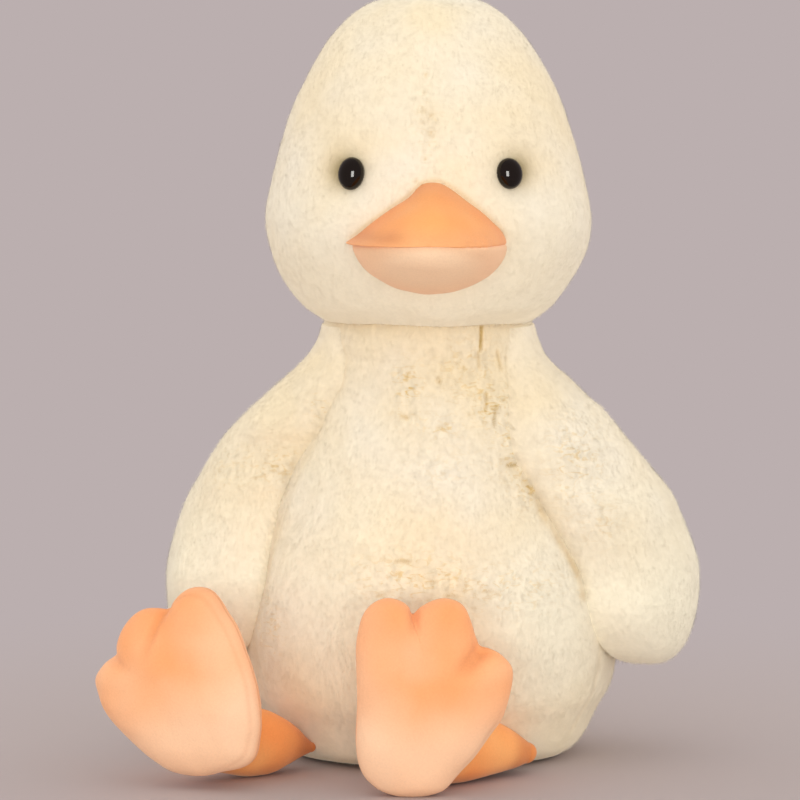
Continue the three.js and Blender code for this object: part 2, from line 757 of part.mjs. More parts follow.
// The foot's own frame: +X across, +Y up along it and +Z out of the sole. Its middle stands up the
// foot from the ankle, at the height that sets the heel on the ground or its rise above it.
function footMatrix(leg) {
  const up = new THREE.Vector3(0, 0, 1).applyAxisAngle(leg.facing, -leg.side * leg.footLean);
  const across = up.clone().cross(leg.facing);
  const heights = footOutline(leg, footSteps.around).map((p) => p.x * across.z + p.y * up.z);
  const rise = leg.heelRise - Math.min(...heights) - heelFlat - leg.ankle.z;
  const middle = leg.ankle
    .clone()
    .addScaledVector(up, rise / up.z)
    .addScaledVector(leg.facing, ankleRadius + footThickness / 2 - ankleInset);
  return new THREE.Matrix4().makeBasis(across, up, leg.facing).setPosition(middle);
}

function footForm(leg, shrink, steps) {
  const half = footThickness / 2;
  const inner = 1 - (2 * shrink) / footWidth;
  const rings = [];
  for (let i = 0; i <= steps.along; i += 1) {
    const turn = (Math.PI * i) / steps.along;
    const size = inner * Math.sin(turn) ** (1 / 2);
    rings.push({ x: 0, y: 0, z: -(half - shrink) * Math.cos(turn), a: size, b: size });
  }
  return stuffedForm(rings, footOutline(leg, steps.around)).transform(footMatrix(leg).elements);
}

function addLeg(name, leg) {
  const legGroup = jointGroup(torsoGroup, leg.hip);
  const hipBall = ball(leg.hip, hipRadius + seamGap, limbBallSteps);
  const torsoBlock = torsoForm(looseGap, looseSteps).subtract(hipBall);
  const room = swept(torsoBlock, torsoBlock, leg.hip, leg.hinge, -legDrop);
  const inward = leg.hip.clone().sub(leg.ankle).setLength(hipRadius);
  const stuffingHole = ball(leg.hip.clone().add(inward), hipRadius / 2, limbBallSteps);
  const shell = legForm(leg, 0).subtract(legForm(leg, suedeThickness));
  const tube = shell.subtract(stuffingHole).subtract(room);
  const legFilling = legForm(leg, suedeThickness + seamGap).subtract(room);
  addPiece(legGroup, `leg_${name}_cover`, largestOf(tube), suedeMaterial);
  addPiece(legGroup, `leg_${name}_filling`, largestOf(legFilling), fibreMaterial);

  const footGroup = jointGroup(legGroup, leg.ankle);
  const ankleSocket = ball(leg.ankle, ankleRadius + limbGap, limbBallSteps);
  const cover = footForm(leg, 0, footSteps)
    .subtract(footForm(leg, suedeThickness, footCoreSteps))
    .subtract(ankleSocket)
    .intersect(halfSpace("z", 0, 1));
  const matrix = footMatrix(leg);
  const front = halfSpace("z", seamGap / 2, 1).transform(matrix.elements);
  const back = halfSpace("z", -seamGap / 2, -1).transform(matrix.elements);
  addPiece(footGroup, `foot_${name}_sole_panel`, largestOf(cover.intersect(front)), suedeMaterial);
  addPiece(footGroup, `foot_${name}_top_panel`, largestOf(cover.intersect(back)), suedeMaterial);
  const filling = footForm(leg, suedeThickness + seamGap, footCoreSteps).subtract(ankleSocket);
  addPiece(footGroup, `foot_${name}_filling`, largestOf(filling), fibreMaterial);
}

addLeg("left", legs.left);
addLeg("right", legs.right);

export default duck;
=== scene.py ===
"""Looks of a seated plush duck: cream pile fabric on the body, head, wings and tail, brushed
suedette on the bill, legs and feet, and two glossy button eyes.

Shapes are worked out in millimetres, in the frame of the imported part: the duck looks along -Y,
its left side is +X and it sits on z = 0. They become metres when a mesh is made."""

import json
import math

import bpy
import numpy as np
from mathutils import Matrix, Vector


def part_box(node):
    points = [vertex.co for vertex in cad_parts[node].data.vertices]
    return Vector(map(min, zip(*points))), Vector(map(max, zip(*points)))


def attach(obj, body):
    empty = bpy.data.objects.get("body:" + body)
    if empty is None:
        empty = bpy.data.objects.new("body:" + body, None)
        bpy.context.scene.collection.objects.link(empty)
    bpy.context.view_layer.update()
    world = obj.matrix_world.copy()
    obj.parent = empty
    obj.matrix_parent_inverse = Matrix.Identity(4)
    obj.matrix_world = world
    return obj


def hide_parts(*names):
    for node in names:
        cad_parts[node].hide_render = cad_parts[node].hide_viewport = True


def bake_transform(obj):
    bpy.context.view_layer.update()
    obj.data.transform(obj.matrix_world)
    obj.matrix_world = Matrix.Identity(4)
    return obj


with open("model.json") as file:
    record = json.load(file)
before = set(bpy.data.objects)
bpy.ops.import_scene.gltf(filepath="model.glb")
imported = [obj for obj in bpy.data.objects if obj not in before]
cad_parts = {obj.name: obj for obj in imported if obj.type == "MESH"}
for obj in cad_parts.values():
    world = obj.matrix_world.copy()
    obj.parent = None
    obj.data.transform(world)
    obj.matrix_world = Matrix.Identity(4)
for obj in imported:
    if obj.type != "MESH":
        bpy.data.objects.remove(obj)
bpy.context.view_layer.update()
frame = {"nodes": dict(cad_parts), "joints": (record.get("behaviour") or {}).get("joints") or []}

MM = 0.001
joints = {joint["name"]: joint for joint in frame["joints"]}


def span(*nodes):
    """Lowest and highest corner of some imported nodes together, in millimetres."""
    lows, highs = zip(*(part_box(node) for node in nodes))
    return np.min(lows, axis=0) / MM, np.max(highs, axis=0) / MM


def hinge_of(name):
    """Where a joint's hinge is, in millimetres."""
    return np.array(joints[name]["pos_m"]) / MM


# Curves and noise


def spline(knots, count, closed=False, pace=0.0):
    """Points of a Catmull-Rom curve through the knots. Each stretch is a cubic whose end slopes come
    from the knots beside it. pace 0 gives every stretch the same time, and 0.5 the square root of
    its length, which keeps tight bends from looping."""
    knots = np.asarray(knots, float)
    last = len(knots) - 1
    start = np.arange(len(knots) if closed else last)
    around = [start - 1, start, start + 1, start + 2]
    wrap = (lambda i: i % len(knots)) if closed else (lambda i: np.clip(i, 0, last))
    before, begin, end, after = (knots[wrap(i)] for i in around)
    steps = [np.linalg.norm(b - a, axis=1)[:, None] for a, b in ((before, begin), (begin, end), (end, after))]
    first, middle, third = (np.where(step > 0, step, steps[1]) ** pace for step in steps)
    leaving = (begin - before) / first - (end - before) / (first + middle) + (end - begin) / middle
    arriving = (end - begin) / middle - (after - begin) / (middle + third) + (after - end) / third
    leaving, arriving = leaving * middle, arriving * middle
    place = np.linspace(0, len(start), count, endpoint=not closed)
    i = np.minimum(place.astype(int), len(start) - 1)
    t = (place - i)[:, None]
    bend = 2 * begin[i] - 2 * end[i] + leaving[i] + arriving[i]
    lean = 3 * end[i] - 3 * begin[i] - 2 * leaving[i] - arriving[i]
    return begin[i] + leaving[i] * t + lean * t**2 + bend * t**3


def even_steps(path, count):
    """The path again, as points at even distances along it."""
    run = np.concatenate([[0], np.cumsum(np.linalg.norm(np.diff(path, axis=0), axis=1))])
    at = np.linspace(0, run[-1], count)
    return np.stack([np.interp(at, run, values) for values in path.T], axis=1)


def unit(vectors):
    """Each vector at a length of 1. One of no length stays as it is."""
    return vectors / np.maximum(np.linalg.norm(vectors, axis=-1, keepdims=True), 1e-9)


def waves(points, size, seed, count=14):
    """Smooth noise of about -1 to 1: a sum of sine waves in random directions, whose lengths are
    near size."""
    rng = np.random.default_rng(seed)
    directions = unit(rng.normal(size=(count, 3)))
    pace = 2 * np.pi / (size * rng.uniform(0.7, 1.6, count))
    turns = (points @ directions.T) * pace + rng.uniform(0, 2 * np.pi, count)
    return np.sin(turns).sum(axis=-1) / math.sqrt(count)


def bump(distance, reach):
    """A bell that is 1 at distance 0 and fades out past reach."""
    return np.exp(-((distance / reach) ** 2))


def distance_to(points, path):
    """The distance from each point to the nearest stretch of a path."""
    nearest = np.full(points.shape[:-1], np.inf)
    for a, b in zip(path[:-1], path[1:]):
        run = b - a
        t = np.clip(((points - a) @ run) / (run @ run), 0, 1)
        nearest = np.minimum(nearest, np.linalg.norm(points - a - t[..., None] * run, axis=-1))
    return nearest


def smooth(value, low, high):
    """0 below low, 1 above high, and an S curve between them."""
    t = np.clip((value - low) / (high - low), 0, 1)
    return t * t * (3 - 2 * t)


# Grids: rows from one closed end to the other, each row one ring of points


def ring_angles(around):
    """Even steps of angle round a ring, which start on its own +X side."""
    return 2 * np.pi * np.arange(around) / around


def grid_normals(grid):
    """The direction out of the surface at each point: the cross product of the step round the ring
    and the step to the next row. An end takes the mean direction of the ring beside it."""
    across = np.roll(grid, -1, axis=1) - np.roll(grid, 1, axis=1)
    along = np.gradient(grid, axis=0)
    out = np.cross(across, along)
    out[0] = out[1].mean(axis=0)
    out[-1] = out[-2].mean(axis=0)
    out = unit(out)
    middle = grid.mean(axis=(0, 1))
    return out if np.sum(out * (grid - middle)) > 0 else -out


def pushed(grid, amount):
    """The grid with each point moved along its normal by its own amount."""
    return grid + grid_normals(grid) * np.broadcast_to(amount, grid.shape[:-1])[..., None]


def mesh_piece(name, points, faces, material, smooth_shaded=True):
    """An object at the origin whose mesh has these points, in millimetres, and faces, which are
    arrays of corners."""
    mesh = bpy.data.meshes.new(name)
    corners = np.concatenate([part.ravel() for part in faces]).astype(np.int32)
    counts = np.concatenate([np.full(len(part), part.shape[1]) for part in faces])
    starts = np.concatenate([[0], np.cumsum(counts)[:-1]]).astype(np.int32)
    mesh.vertices.add(len(points))
    mesh.vertices.foreach_set("co", (points * MM).astype(np.float32).ravel())
    mesh.loops.add(len(corners))
    mesh.loops.foreach_set("vertex_index", corners)
    mesh.polygons.add(len(counts))
    mesh.polygons.foreach_set("loop_start", starts)
    mesh.polygons.foreach_set("use_smooth", np.full(len(counts), smooth_shaded))
    mesh.update(calc_edges=True)
    mesh.materials.append(material)
    made = bpy.data.objects.new(name, mesh)
    bpy.context.scene.collection.objects.link(made)
    return made


def closed_piece(name, grid, material, marks=None):
    """A closed mesh from a grid whose first and last rows shrink to a point. Faces are turned so
    that the volume they enclose is positive, which points them outwards."""
    rows, around = grid.shape[:2]
    points = np.concatenate([grid[0, :1], grid[1:-1].reshape(-1, 3), grid[-1, :1]])
    at = 1 + np.arange((rows - 2) * around).reshape(rows - 2, around)
    beside = np.roll(at, -1, axis=1)
    quads = np.stack([at[:-1], beside[:-1], beside[1:], at[1:]], axis=-1).reshape(-1, 4)
    top = np.full(around, len(points) - 1)
    ends = np.concatenate([
        np.stack([np.zeros(around, int), beside[0], at[0]], axis=-1),
        np.stack([top, at[-1], beside[-1]], axis=-1),
    ])
    a, b, c = (points[quads[:, i]] for i in (0, 1, 2))
    if np.sum(np.cross(a, b) * c) < 0:
        quads, ends = quads[:, ::-1], ends[:, ::-1]
    made = mesh_piece(name, points, [quads, ends], material)
    for key, values in (marks or {}).items():
        flat = np.concatenate([values[0, :1], values[1:-1].ravel(), values[-1, :1]])
        write_mark(made, key, flat)
    return made


def write_mark(piece, name, values):
    """A number for each point of a mesh, which its material reads by that name."""
    attribute = piece.data.attributes.new(name, "FLOAT", "POINT")
    attribute.data.foreach_set("value", np.asarray(values, np.float32))


# Materials


def colour(code):
    """A linear colour from an sRGB hex value."""
    values = np.array([int(code[i : i + 2], 16) for i in (1, 3, 5)]) / 255
    low, high = values / 12.92, ((values + 0.055) / 1.055) ** 2.4
    return (*np.where(values <= 0.04045, low, high).tolist(), 1.0)


def add_node(tree, kind, inputs=None, **settings):
    """Adds a node, sets its properties, and sets each input or links it if it is given a socket."""
    made = tree.nodes.new(kind)
    for name, value in settings.items():
        setattr(made, name, value)
    for name, value in (inputs or {}).items():
        if isinstance(value, bpy.types.NodeSocket):
            tree.links.new(value, made.inputs[name])
        else:
            made.inputs[name].default_value = value
    return made


def new_material(name):
    """An empty node material, with its tree and its Object coordinates."""
    material = bpy.data.materials.new(name)
    material.use_nodes = True
    tree = material.node_tree
    tree.nodes.clear()
    return material, tree, add_node(tree, "ShaderNodeTexCoord").outputs["Object"]


def per_metre(size):
    """The scale of a pattern on Object coordinates, whose spots are a size in millimetres apart."""
    return 1 / (size * MM)


def patches(tree, place, size, detail, edges, tones):
    """Two tones in soft patches of a size. The edges are the levels of the noise between which the
    first tone turns into the second."""
    spots = {"Vector": place, "Scale": per_metre(size), "Detail": detail}
    level = add_node(tree, "ShaderNodeTexNoise", spots).outputs["Fac"]
    share = add_node(tree, "ShaderNodeMapRange", {0: level, 1: edges[0], 2: edges[1]})
    mixed = {0: share.outputs[0], 6: colour(tones[0]), 7: colour(tones[1])}
    return add_node(tree, "ShaderNodeMix", mixed, data_type="RGBA").outputs[2]


def overlaid(tree, tint, tones, masks):
    """The tint with more tones laid over it in turn, each as far as the mesh's mark of that name
    says, and only through its mask where it has one."""
    for mark, tone in tones.items():
        share = add_node(tree, "ShaderNodeAttribute", attribute_name=mark).outputs["Fac"]
        if mark in masks:
            both = {0: masks[mark], 1: share}
            share = add_node(tree, "ShaderNodeMath", both, operation="MULTIPLY").outputs[0]
        mixed = {0: share, 6: tint, 7: colour(tone)}
        tint = add_node(tree, "ShaderNodeMix", mixed, data_type="RGBA").outputs[2]
    return tint


def shaded(tree, tint, level, ends, shades):
    """The tint times a shade, which runs from the first shade to the second as a level runs between
    its two ends."""
    ranges = {0: level, 1: ends[0], 2: ends[1], 3: shades[0], 4: shades[1]}
    shade = add_node(tree, "ShaderNodeMapRange", ranges)
    scaled = {0: tint, "Scale": shade.outputs[0]}
    return add_node(tree, "ShaderNodeVectorMath", scaled, operation="SCALE").outputs[0]


# Most of a noise lies between these two levels
NOISE_ENDS = 0.3, 0.7


def pile_fabric(name, strand):
    """Knitted acrylic pile, brushed and sheared: a cream coat with slightly warmer patches and a soft
    sheen at grazing angles. The ochre where it parts at seams and in ruffled places is painted shade.
    The strands are painted a little darker at their roots, as shade, so that they get lighter towards
    their tips, and the knitted backing between them has a fine grain."""
    material, tree, place = new_material(name)
    cream = patches(tree, place, 41.67, 2.0, (0.36, 0.66), ("#f9efda", "#faeac9"))
    # Painted shade: ochre in the pits of ruffled pile, where a stretched noise of partings says
    level = add_node(tree, "ShaderNodeMapping", {"Vector": place, "Scale": (1.0, 1.0, 2.0)})
    partings = add_node(tree, "ShaderNodeTexNoise", {
        "Vector": level.outputs[0],
        "Scale": per_metre(3.7037),
        "Detail": 3.0,
        "Distortion": 1.3,
    })
    pit_shade = add_node(tree, "ShaderNodeMapRange", {0: partings.outputs["Fac"], 1: 0.52, 2: 0.66, 4: 0.95})
    # Tones that the marks lay over it: pale is painted light, and warm, olive and the ruffles' ochre are
    # painted shade
    tones = {"pale": "#fff8e0", "ruffle": "#e6c47c", "warm_shade": "#d3ab5c", "olive_shade": "#8c783c"}
    tint = overlaid(tree, cream, tones, {"ruffle": pit_shade.outputs[0]})
    if strand:
        # Painted shade: a strand is a little darker at its root than at its tip
        tip = add_node(tree, "ShaderNodeAttribute", attribute_name="tip")
        tint = shaded(tree, tint, tip.outputs["Fac"], (0.0, 1.0), (0.97, 1.0))
    else:
        # The knit's loops, drawn twice as coarse as they are, so that they show
        loops = {"Vector": place, "Scale": per_metre(1.1111), "Detail": 3.0}
        knit = add_node(tree, "ShaderNodeTexNoise", loops)
        tint = shaded(tree, tint, knit.outputs["Fac"], NOISE_ENDS, (0.95, 1.0))
    shader = add_node(tree, "ShaderNodeBsdfPrincipled", {
        "Base Color": tint,
        "Roughness": 0.9,
        "IOR": 1.45,
        "Specular IOR Level": 0.15,
        "Sheen Weight": 0.55,
        "Sheen Roughness": 0.5,
        "Sheen Tint": colour("#fff6e6"),
    })
    add_node(tree, "ShaderNodeOutputMaterial", {"Surface": shader.outputs[0]})
    return material


def suedette(name, light, deep, pale):
    """Brushed polyester suedette: a short even nap, matt, with paler and deeper patches where the
    nap lies over, a fine grain, and a soft bloom at grazing angles."""
    material, tree, place = new_material(name)
    brushed = patches(tree, place, 23.81, 1.5, (0.34, 0.68), (deep, light))
    # The nap's tufts, drawn coarser than they are, so that they show
    grain = add_node(tree, "ShaderNodeTexNoise", {
        "Vector": place,
        "Scale": per_metre(0.7143),
        "Detail": 4.0,
        "Roughness": 0.65,
    })
    # Painted light where the mark pale says, and painted shade where the mark warm says
    tint = overlaid(tree, brushed, {"pale": pale, "warm_shade": "#c9713a"}, {})
    nap = {"Height": grain.outputs["Fac"], "Strength": 0.35, "Distance": 0.4 * MM}
    shader = add_node(tree, "ShaderNodeBsdfPrincipled", {
        "Base Color": shaded(tree, tint, grain.outputs["Fac"], NOISE_ENDS, (0.95, 1.03)),
        "Roughness": 0.85,
        "IOR": 1.45,
        "Specular IOR Level": 0.2,
        "Sheen Weight": 0.35,
        "Sheen Roughness": 0.45,
        "Sheen Tint": colour("#ffe3cc"),
        "Normal": add_node(tree, "ShaderNodeBump", nap).outputs[0],
    })
    add_node(tree, "ShaderNodeOutputMaterial", {"Surface": shader.outputs[0]})
    return material


def simple_material(name, code, roughness, grain_size, bump_height, **settings):
    """A plain finish with a fine grain in its colour, roughness and height."""
    material, tree, place = new_material(name)
    noise = {"Vector": place, "Scale": per_metre(grain_size), "Detail": 3.0}
    grain = add_node(tree, "ShaderNodeTexNoise", noise).outputs["Fac"]
    low, high = NOISE_ENDS
    gloss = {0: grain, 1: low, 2: high, 3: roughness * 0.85, 4: roughness * 1.1}
    relief = {"Height": grain, "Strength": 0.5, "Distance": bump_height * MM}
    shader = add_node(tree, "ShaderNodeBsdfPrincipled", {
        "Base Color": shaded(tree, colour(code)[:3], grain, NOISE_ENDS, (0.9, 1.05)),
        "Roughness": add_node(tree, "ShaderNodeMapRange", gloss).outputs[0],
        "Normal": add_node(tree, "ShaderNodeBump", relief).outputs[0],
        **settings,
    })
    add_node(tree, "ShaderNodeOutputMaterial", {"Surface": shader.outputs[0]})
    return material


cream_pile = pile_fabric("acrylic_pile_strands", True)
cream_backing = pile_fabric("acrylic_pile_backing", False)
# The last tone of each suedette is the painted light that the mark pale lays on
bill_suede = suedette("brushed_suedette_bill", "#feb06c", "#fa9f5e", "#ffdcb8")
foot_suede = suedette("brushed_suedette_feet", "#ffbf90", "#ffae74", "#ffd2ad")
leg_suede = suedette("brushed_suedette_legs", "#ffb36e", "#ff9f58", "#ffc894")


def stuffed(name, grid, material, marks, body, nodes):
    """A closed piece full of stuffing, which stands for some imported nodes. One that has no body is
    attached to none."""
    made = closed_piece(name, grid, material, marks)
    if body:
        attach(made, body)
    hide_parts(*nodes)
    return made


def uneven(grid, *layers):
    """How the stuffing swells and dips: noise in layers, each with its size, height and seed."""
    return sum(waves(grid, size, seed) * height for size, height, seed in layers)


# Pile: short strands that lean over on the fabric, in millimetres and radians

PILE_LENGTH, PILE_LEAN, PILE_DENSITY = 2.4, math.radians(70), 1.5
SKIN_DEPTH = 0.6
STRAND_WIDTH, STRAND_FLATNESS, STRAND_SINK = 0.16, 0.35, 0.2
# How strands differ from each other, as shares of their height and width and as a spread of angle
HEIGHT_RANGE, WIDTH_RANGE, LEAN_SPREAD = (0.72, 1.1), (0.8, 1.2), 0.09
# How far the nap turns aside in slow swirls, in small clumps and strand by strand
SWIRL_SIZE, SWIRL = 17, 0.18
CLUMP_SIZE, CLUMP, RUFFLED_CLUMP = 3.2, 0.07, 0.7
STRAY = 0.22
# How much the lean sways, and how ruffled strands rise and stand longer
SWAY_SIZE, SWAY, RUFFLED_SWAY = 4.5, 0.03, 0.08
RUFFLED_RISE, RUFFLED_GROWTH = 0.35, 0.5
SHORTENING = 0.75
AXIS_SHARE = 0.05
SPIKE_FACES = np.array([[0, 2, 1], [0, 1, 3], [1, 2, 3], [2, 0, 3]])
# A spike's corners in its own cell of the map that colours are baked to
SPIKE_MAP_SHARES = np.array([[0.1, 0.1], [0.9, 0.1], [0.5, 0.3], [0.5, 0.9]])
BAKE_MAP = "OFBake"
SHARE = 1.0


def cell_areas(grid, keep):
    """The area of each cell of a grid, times what keep says of the cell's middle."""
    beside = np.roll(grid, -1, axis=1)
    a, b, c, d = grid[:-1], beside[:-1], beside[1:], grid[1:]
    areas = np.linalg.norm(np.cross(c - a, d - b), axis=-1) / 2
    return areas * keep((a + c) / 2) if keep else areas


def strand_roots(grid, marks, areas, count, rng):
    """Roots spread evenly by area: each one's place and normal, and its value of each mark."""
    chosen = rng.choice(areas.size, count, p=(areas / areas.sum()).ravel())
    row, column = np.unravel_index(chosen, areas.shape)
    u, v = rng.random((2, count, 1))
    beside = (column + 1) % grid.shape[1]

    def blend(values):
        """A grid's values at the roots, mixed from the four corners of each one's cell."""
        low = values[row, column] * (1 - u) + values[row, beside] * u
        high = values[row + 1, column] * (1 - u) + values[row + 1, beside] * u
        return low * (1 - v) + high * v

    found = {key: blend(values[..., None])[:, 0] for key, values in marks.items()}
    return blend(grid), unit(blend(grid_normals(grid))), found


def strands(name, grid, marks, areas, count, seed, length, comb):
    """Pile on a grid, as closed spikes of three sides and a base. A spike points along its surface's
    normal, leant over towards the comb direction, which slow and quick noise turn a little. It
    rises and is longer where the mark ruffle says, and it is shorter where the mark short says.
    Its shading normals are mostly the fabric's, so that the coat shades as one soft surface."""
    rng = np.random.default_rng(seed)
    root, normal, found = strand_roots(grid, marks, areas, count, rng)
    ruffle = found.get("ruffle", np.zeros(count))
    swirl = np.stack([waves(root, SWIRL_SIZE, seed + i) for i in (1, 2, 3)], axis=1)
    clump = np.stack([waves(root, CLUMP_SIZE, seed + i) for i in (4, 5, 6)], axis=1)
    tangle = CLUMP + RUFFLED_CLUMP * ruffle[:, None]
    flow = comb(root) + SWIRL * swirl + tangle * clump + STRAY * rng.normal(size=(count, 3))
    flow = unit(flow - normal * np.sum(flow * normal, axis=1)[:, None])
    lean = PILE_LEAN - RUFFLED_RISE * ruffle + rng.normal(0, LEAN_SPREAD, count)
    tilt = (lean + (SWAY + RUFFLED_SWAY * ruffle) * waves(root, SWAY_SIZE, seed + 7))[:, None]
    axis = normal * np.cos(tilt) + flow * np.sin(tilt)
    side = np.cross(flow, normal)
    over = np.cross(side, axis)
    height = length * (1 + RUFFLED_GROWTH * ruffle) * (1 - SHORTENING * found.get("short", 0.0))
    height = height * rng.uniform(*HEIGHT_RANGE, count)
    half = STRAND_WIDTH / 2 * rng.uniform(*WIDTH_RANGE, (count, 1))
    foot = root - normal * STRAND_SINK
    base = [foot + side * half, foot - side * half, foot - over * half * STRAND_FLATNESS]
    points = np.stack([*base, root + axis * height[:, None]], axis=1)
    a, b, c, tip = points[0]
    shape = SPIKE_FACES if np.cross(b - a, c - a) @ (tip - a) > 0 else SPIKE_FACES[:, ::-1]
    faces = (4 * np.arange(count)[:, None, None] + shape).reshape(-1, 3)
    made = mesh_piece(name, points.reshape(-1, 3), [faces], cream_pile)
    facing = unit(np.repeat(normal + AXIS_SHARE * axis, 4, axis=0))
    made.data.normals_split_custom_set_from_vertices(facing)
    # Thin acrylic fibres let light through, so they take shade but cast none
    made.visible_shadow = False
    for key in ("warm_shade", "olive_shade", "ruffle", "pale"):
        if key in found:
            write_mark(made, key, np.repeat(found[key], 4))
    write_mark(made, "tip", np.tile([0, 0, 0, 1], count))
    across = math.ceil(math.sqrt(count))
    cell = np.stack([np.arange(count) % across, np.arange(count) // across], axis=1) / across
    uv = np.repeat(cell, 12, axis=0) + np.tile(SPIKE_MAP_SHARES[shape.ravel()] / across, (count, 1))
    made.data.uv_layers.new(name=BAKE_MAP).data.foreach_set("uv", uv.astype(np.float32).ravel())
    return made


def downwards(points):
    """Nap that runs down and a little back."""
    return np.tile([0.0, 0.25, -1.0], (len(points), 1))


def coat(name, body, grid, marks, comb, seed, keep=None, parts=1, fullness=1.0):
    """The pile of one piece, in parts that each stay small enough for one mesh. The strands' length
    and their number both follow its fullness."""
    areas = cell_areas(grid, keep)
    count = int(areas.sum() * (PILE_DENSITY * fullness) * SHARE / parts)
    for part in range(parts):
        label = f"{name}_pile_{part + 1}" if parts > 1 else f"{name}_pile"
        made = strands(label, grid, marks, areas, count, seed + 100 * part, PILE_LENGTH * fullness, comb)
        if body:
            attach(made, body)
    return made


# Torso. Pairs named as fades are where something starts and where it is full.

TORSO_ROWS, TORSO_AROUND = 220, 380
neck_pivot = hinge_of("neck_turn")
TORSO_WIDTH, TORSO_DEPTH = 139, 124
SEAT_RADIUS, NECK_RADIUS = 42, 39.5
SEAT_HEIGHT = 0.3
TORSO_PROFILE_SHARES = [
    [0.72, 0.014], [0.82, 0.058], [0.9, 0.12], [0.965, 0.185], [1.0, 0.29], [0.985, 0.4],
    [0.93, 0.51], [0.81, 0.69], [0.695, 0.83], [0.615, 0.93],
]
TORSO_FRONT_FADE = 0, 20
SIDE_SEAM_AHEAD, SIDE_SEAM_REACH, SIDE_SEAM_SHARE = 27, 1.6, 0.35
SIDE_SEAM_LOW_FADE, SIDE_SEAM_HIGH_FADE = (6, 14), (136, 150)
BACK_SEAM_REACH, BACK_SEAM_FADE, BACK_SEAM_LOW_FADE = 1.5, (5, 20), (4, 10)
BASE_SEAM_HEIGHT, BASE_SEAM_REACH = 3.5, 1.3
SEAM_DEPTH, PARTING_DEPTH, PARTING_REACH = 0.6, 0.7, 0.6
OFF_FLOOR_FADE = 0.2, 5
# The stuffing bulges just above the edge of the seat
BASE_BULGE, BASE_BULGE_HEIGHT, BASE_BULGE_REACH, BASE_BULGE_FADE = 1.6, 5, 6, (40, 50)
# Painted shade under the chin, and along a fold at the neck's side: its place across, its width and its fades
THROAT_FADE, UNDER_CHIN_FADE = (120, 158), (151, 158)
NECK_FOLD_ACROSS, NECK_FOLD_REACH, NECK_FOLD_FADES = -32, 2.0, ((130, 140), (148, 154))
# How finely ruffled pile goes up and down
RUFFLE_SIZE = 3.8
# Where the torso's pile is ruffled, with painted shade in its pits: place across and up, half sizes, and how
# much
TORSO_RUFFLES = [
    [(22, 130), (5, 6), 1.0],
    [(-7, 135), (5, 9), 0.9],
    [(14, 142), (11, 11), 0.55],
    [(5, 123), (6, 3), 0.7],
    [(30, 118), (6, 12), 0.8],
    [(36, 100), (5, 6), 0.6],
    [(-4, 71), (20, 8), 0.75],
    [(30, 66), (17, 8), 0.45],
    [(6, 108), (16, 8), 0.2],
    [(-56, 50), (4, 12), 0.5],
]
# Short partings of the pile, drawn in and painted with shade: both ends, across and up, and how strong
PARTINGS = [
    [(18.9, 158), (18.6, 149.8), 1.0],
    [(23.7, 129.6), (23.0, 123.1), 0.6],
    [(20.4, 134.1), (20.4, 128.1), 0.6],
    [(24.4, 148.7), (25.5, 142.5), 0.45],
    [(17.6, 148.4), (18.0, 143.2), 0.4],
    [(-9.5, 126.6), (-7.0, 126.4), 0.6],
    [(3.5, 122.8), (6.7, 123.5), 0.5],
    [(28.2, 108.9), (33.2, 109.3), 0.75],
    [(3.5, 139.7), (4.2, 138.6), 0.6],
    [(-7.7, 140.4), (-7.4, 139.4), 0.5],
    [(-11.6, 77.0), (-6.0, 76.4), 0.5],
    [(-3.0, 70.4), (3.0, 70.0), 0.45],
    [(-17.6, 65.2), (-12.4, 65.8), 0.45],
    [(6.0, 65.0), (11.4, 64.4), 0.4],
    [(18.0, 67.0), (25.0, 65.0), 0.35],
]
# Levels of a wing from the top down: height, the angle of its front edge and of its back edge
# from sideways, and how far out it reaches
LEFT_WING_LEVELS = [
    [156.6, 42, 20, 39.0], [152, 45, 22, 40.2], [146, 48, 26, 43.2], [141, 51, 30, 47.6],
    [136, 52, 32, 53], [130, 54, 33, 58.8], [125, 55, 34, 64.4], [119.5, 56, 34.5, 69.6],
    [114, 56, 35, 74.4], [108.5, 53, 35, 78.6], [103, 49.4, 35, 82.4], [97.5, 47.2, 35, 86.6],
    [92, 44.8, 35, 90.4], [81, 39.4, 35, 95], [72, 35.6, 34, 97.6], [66, 34.2, 33.2, 98.7],
    [62, 34, 33, 98.8],
]
RIGHT_WING_LEVELS = [
    [156.6, 36, 20, 39.0], [152, 39, 22, 40.2], [146, 43, 26, 43.4], [141, 44, 30, 48.0],
    [136, 43.5, 32, 53.8], [130, 41, 33, 59.8], [125, 38.5, 34, 65.6], [119.5, 36, 34.5, 71],
    [114, 32, 35, 75.6], [108.5, 29, 35, 79.4], [103, 27, 35, 82.8], [97.5, 26, 35, 85.8],
    [92, 25.5, 35, 88.4], [81, 26, 35, 92.4], [72, 27.2, 34, 95.0], [66, 28.8, 33.2, 96.1],
    [62, 29, 33, 96.2],
]
# Where the torso's pile parts along the wings, with painted shade: side, levels, how strong and how wide
WING_PARTINGS = [(1, LEFT_WING_LEVELS, 0.55, 2.0), (-1, RIGHT_WING_LEVELS, 0.25, 1.6)]
WING_PARTING_AHEAD, WING_PARTING_MIDDLE, WING_PARTING_FADE = 1.6, 74, (-42, -22)


def torso_flattening(height):
    """How much shallower than wide the torso is at a height: oval at the belly, round at the neck."""
    share = smooth(height, neck_pivot[2] / 2, neck_pivot[2])
    return TORSO_DEPTH / TORSO_WIDTH * (1 - share) + share


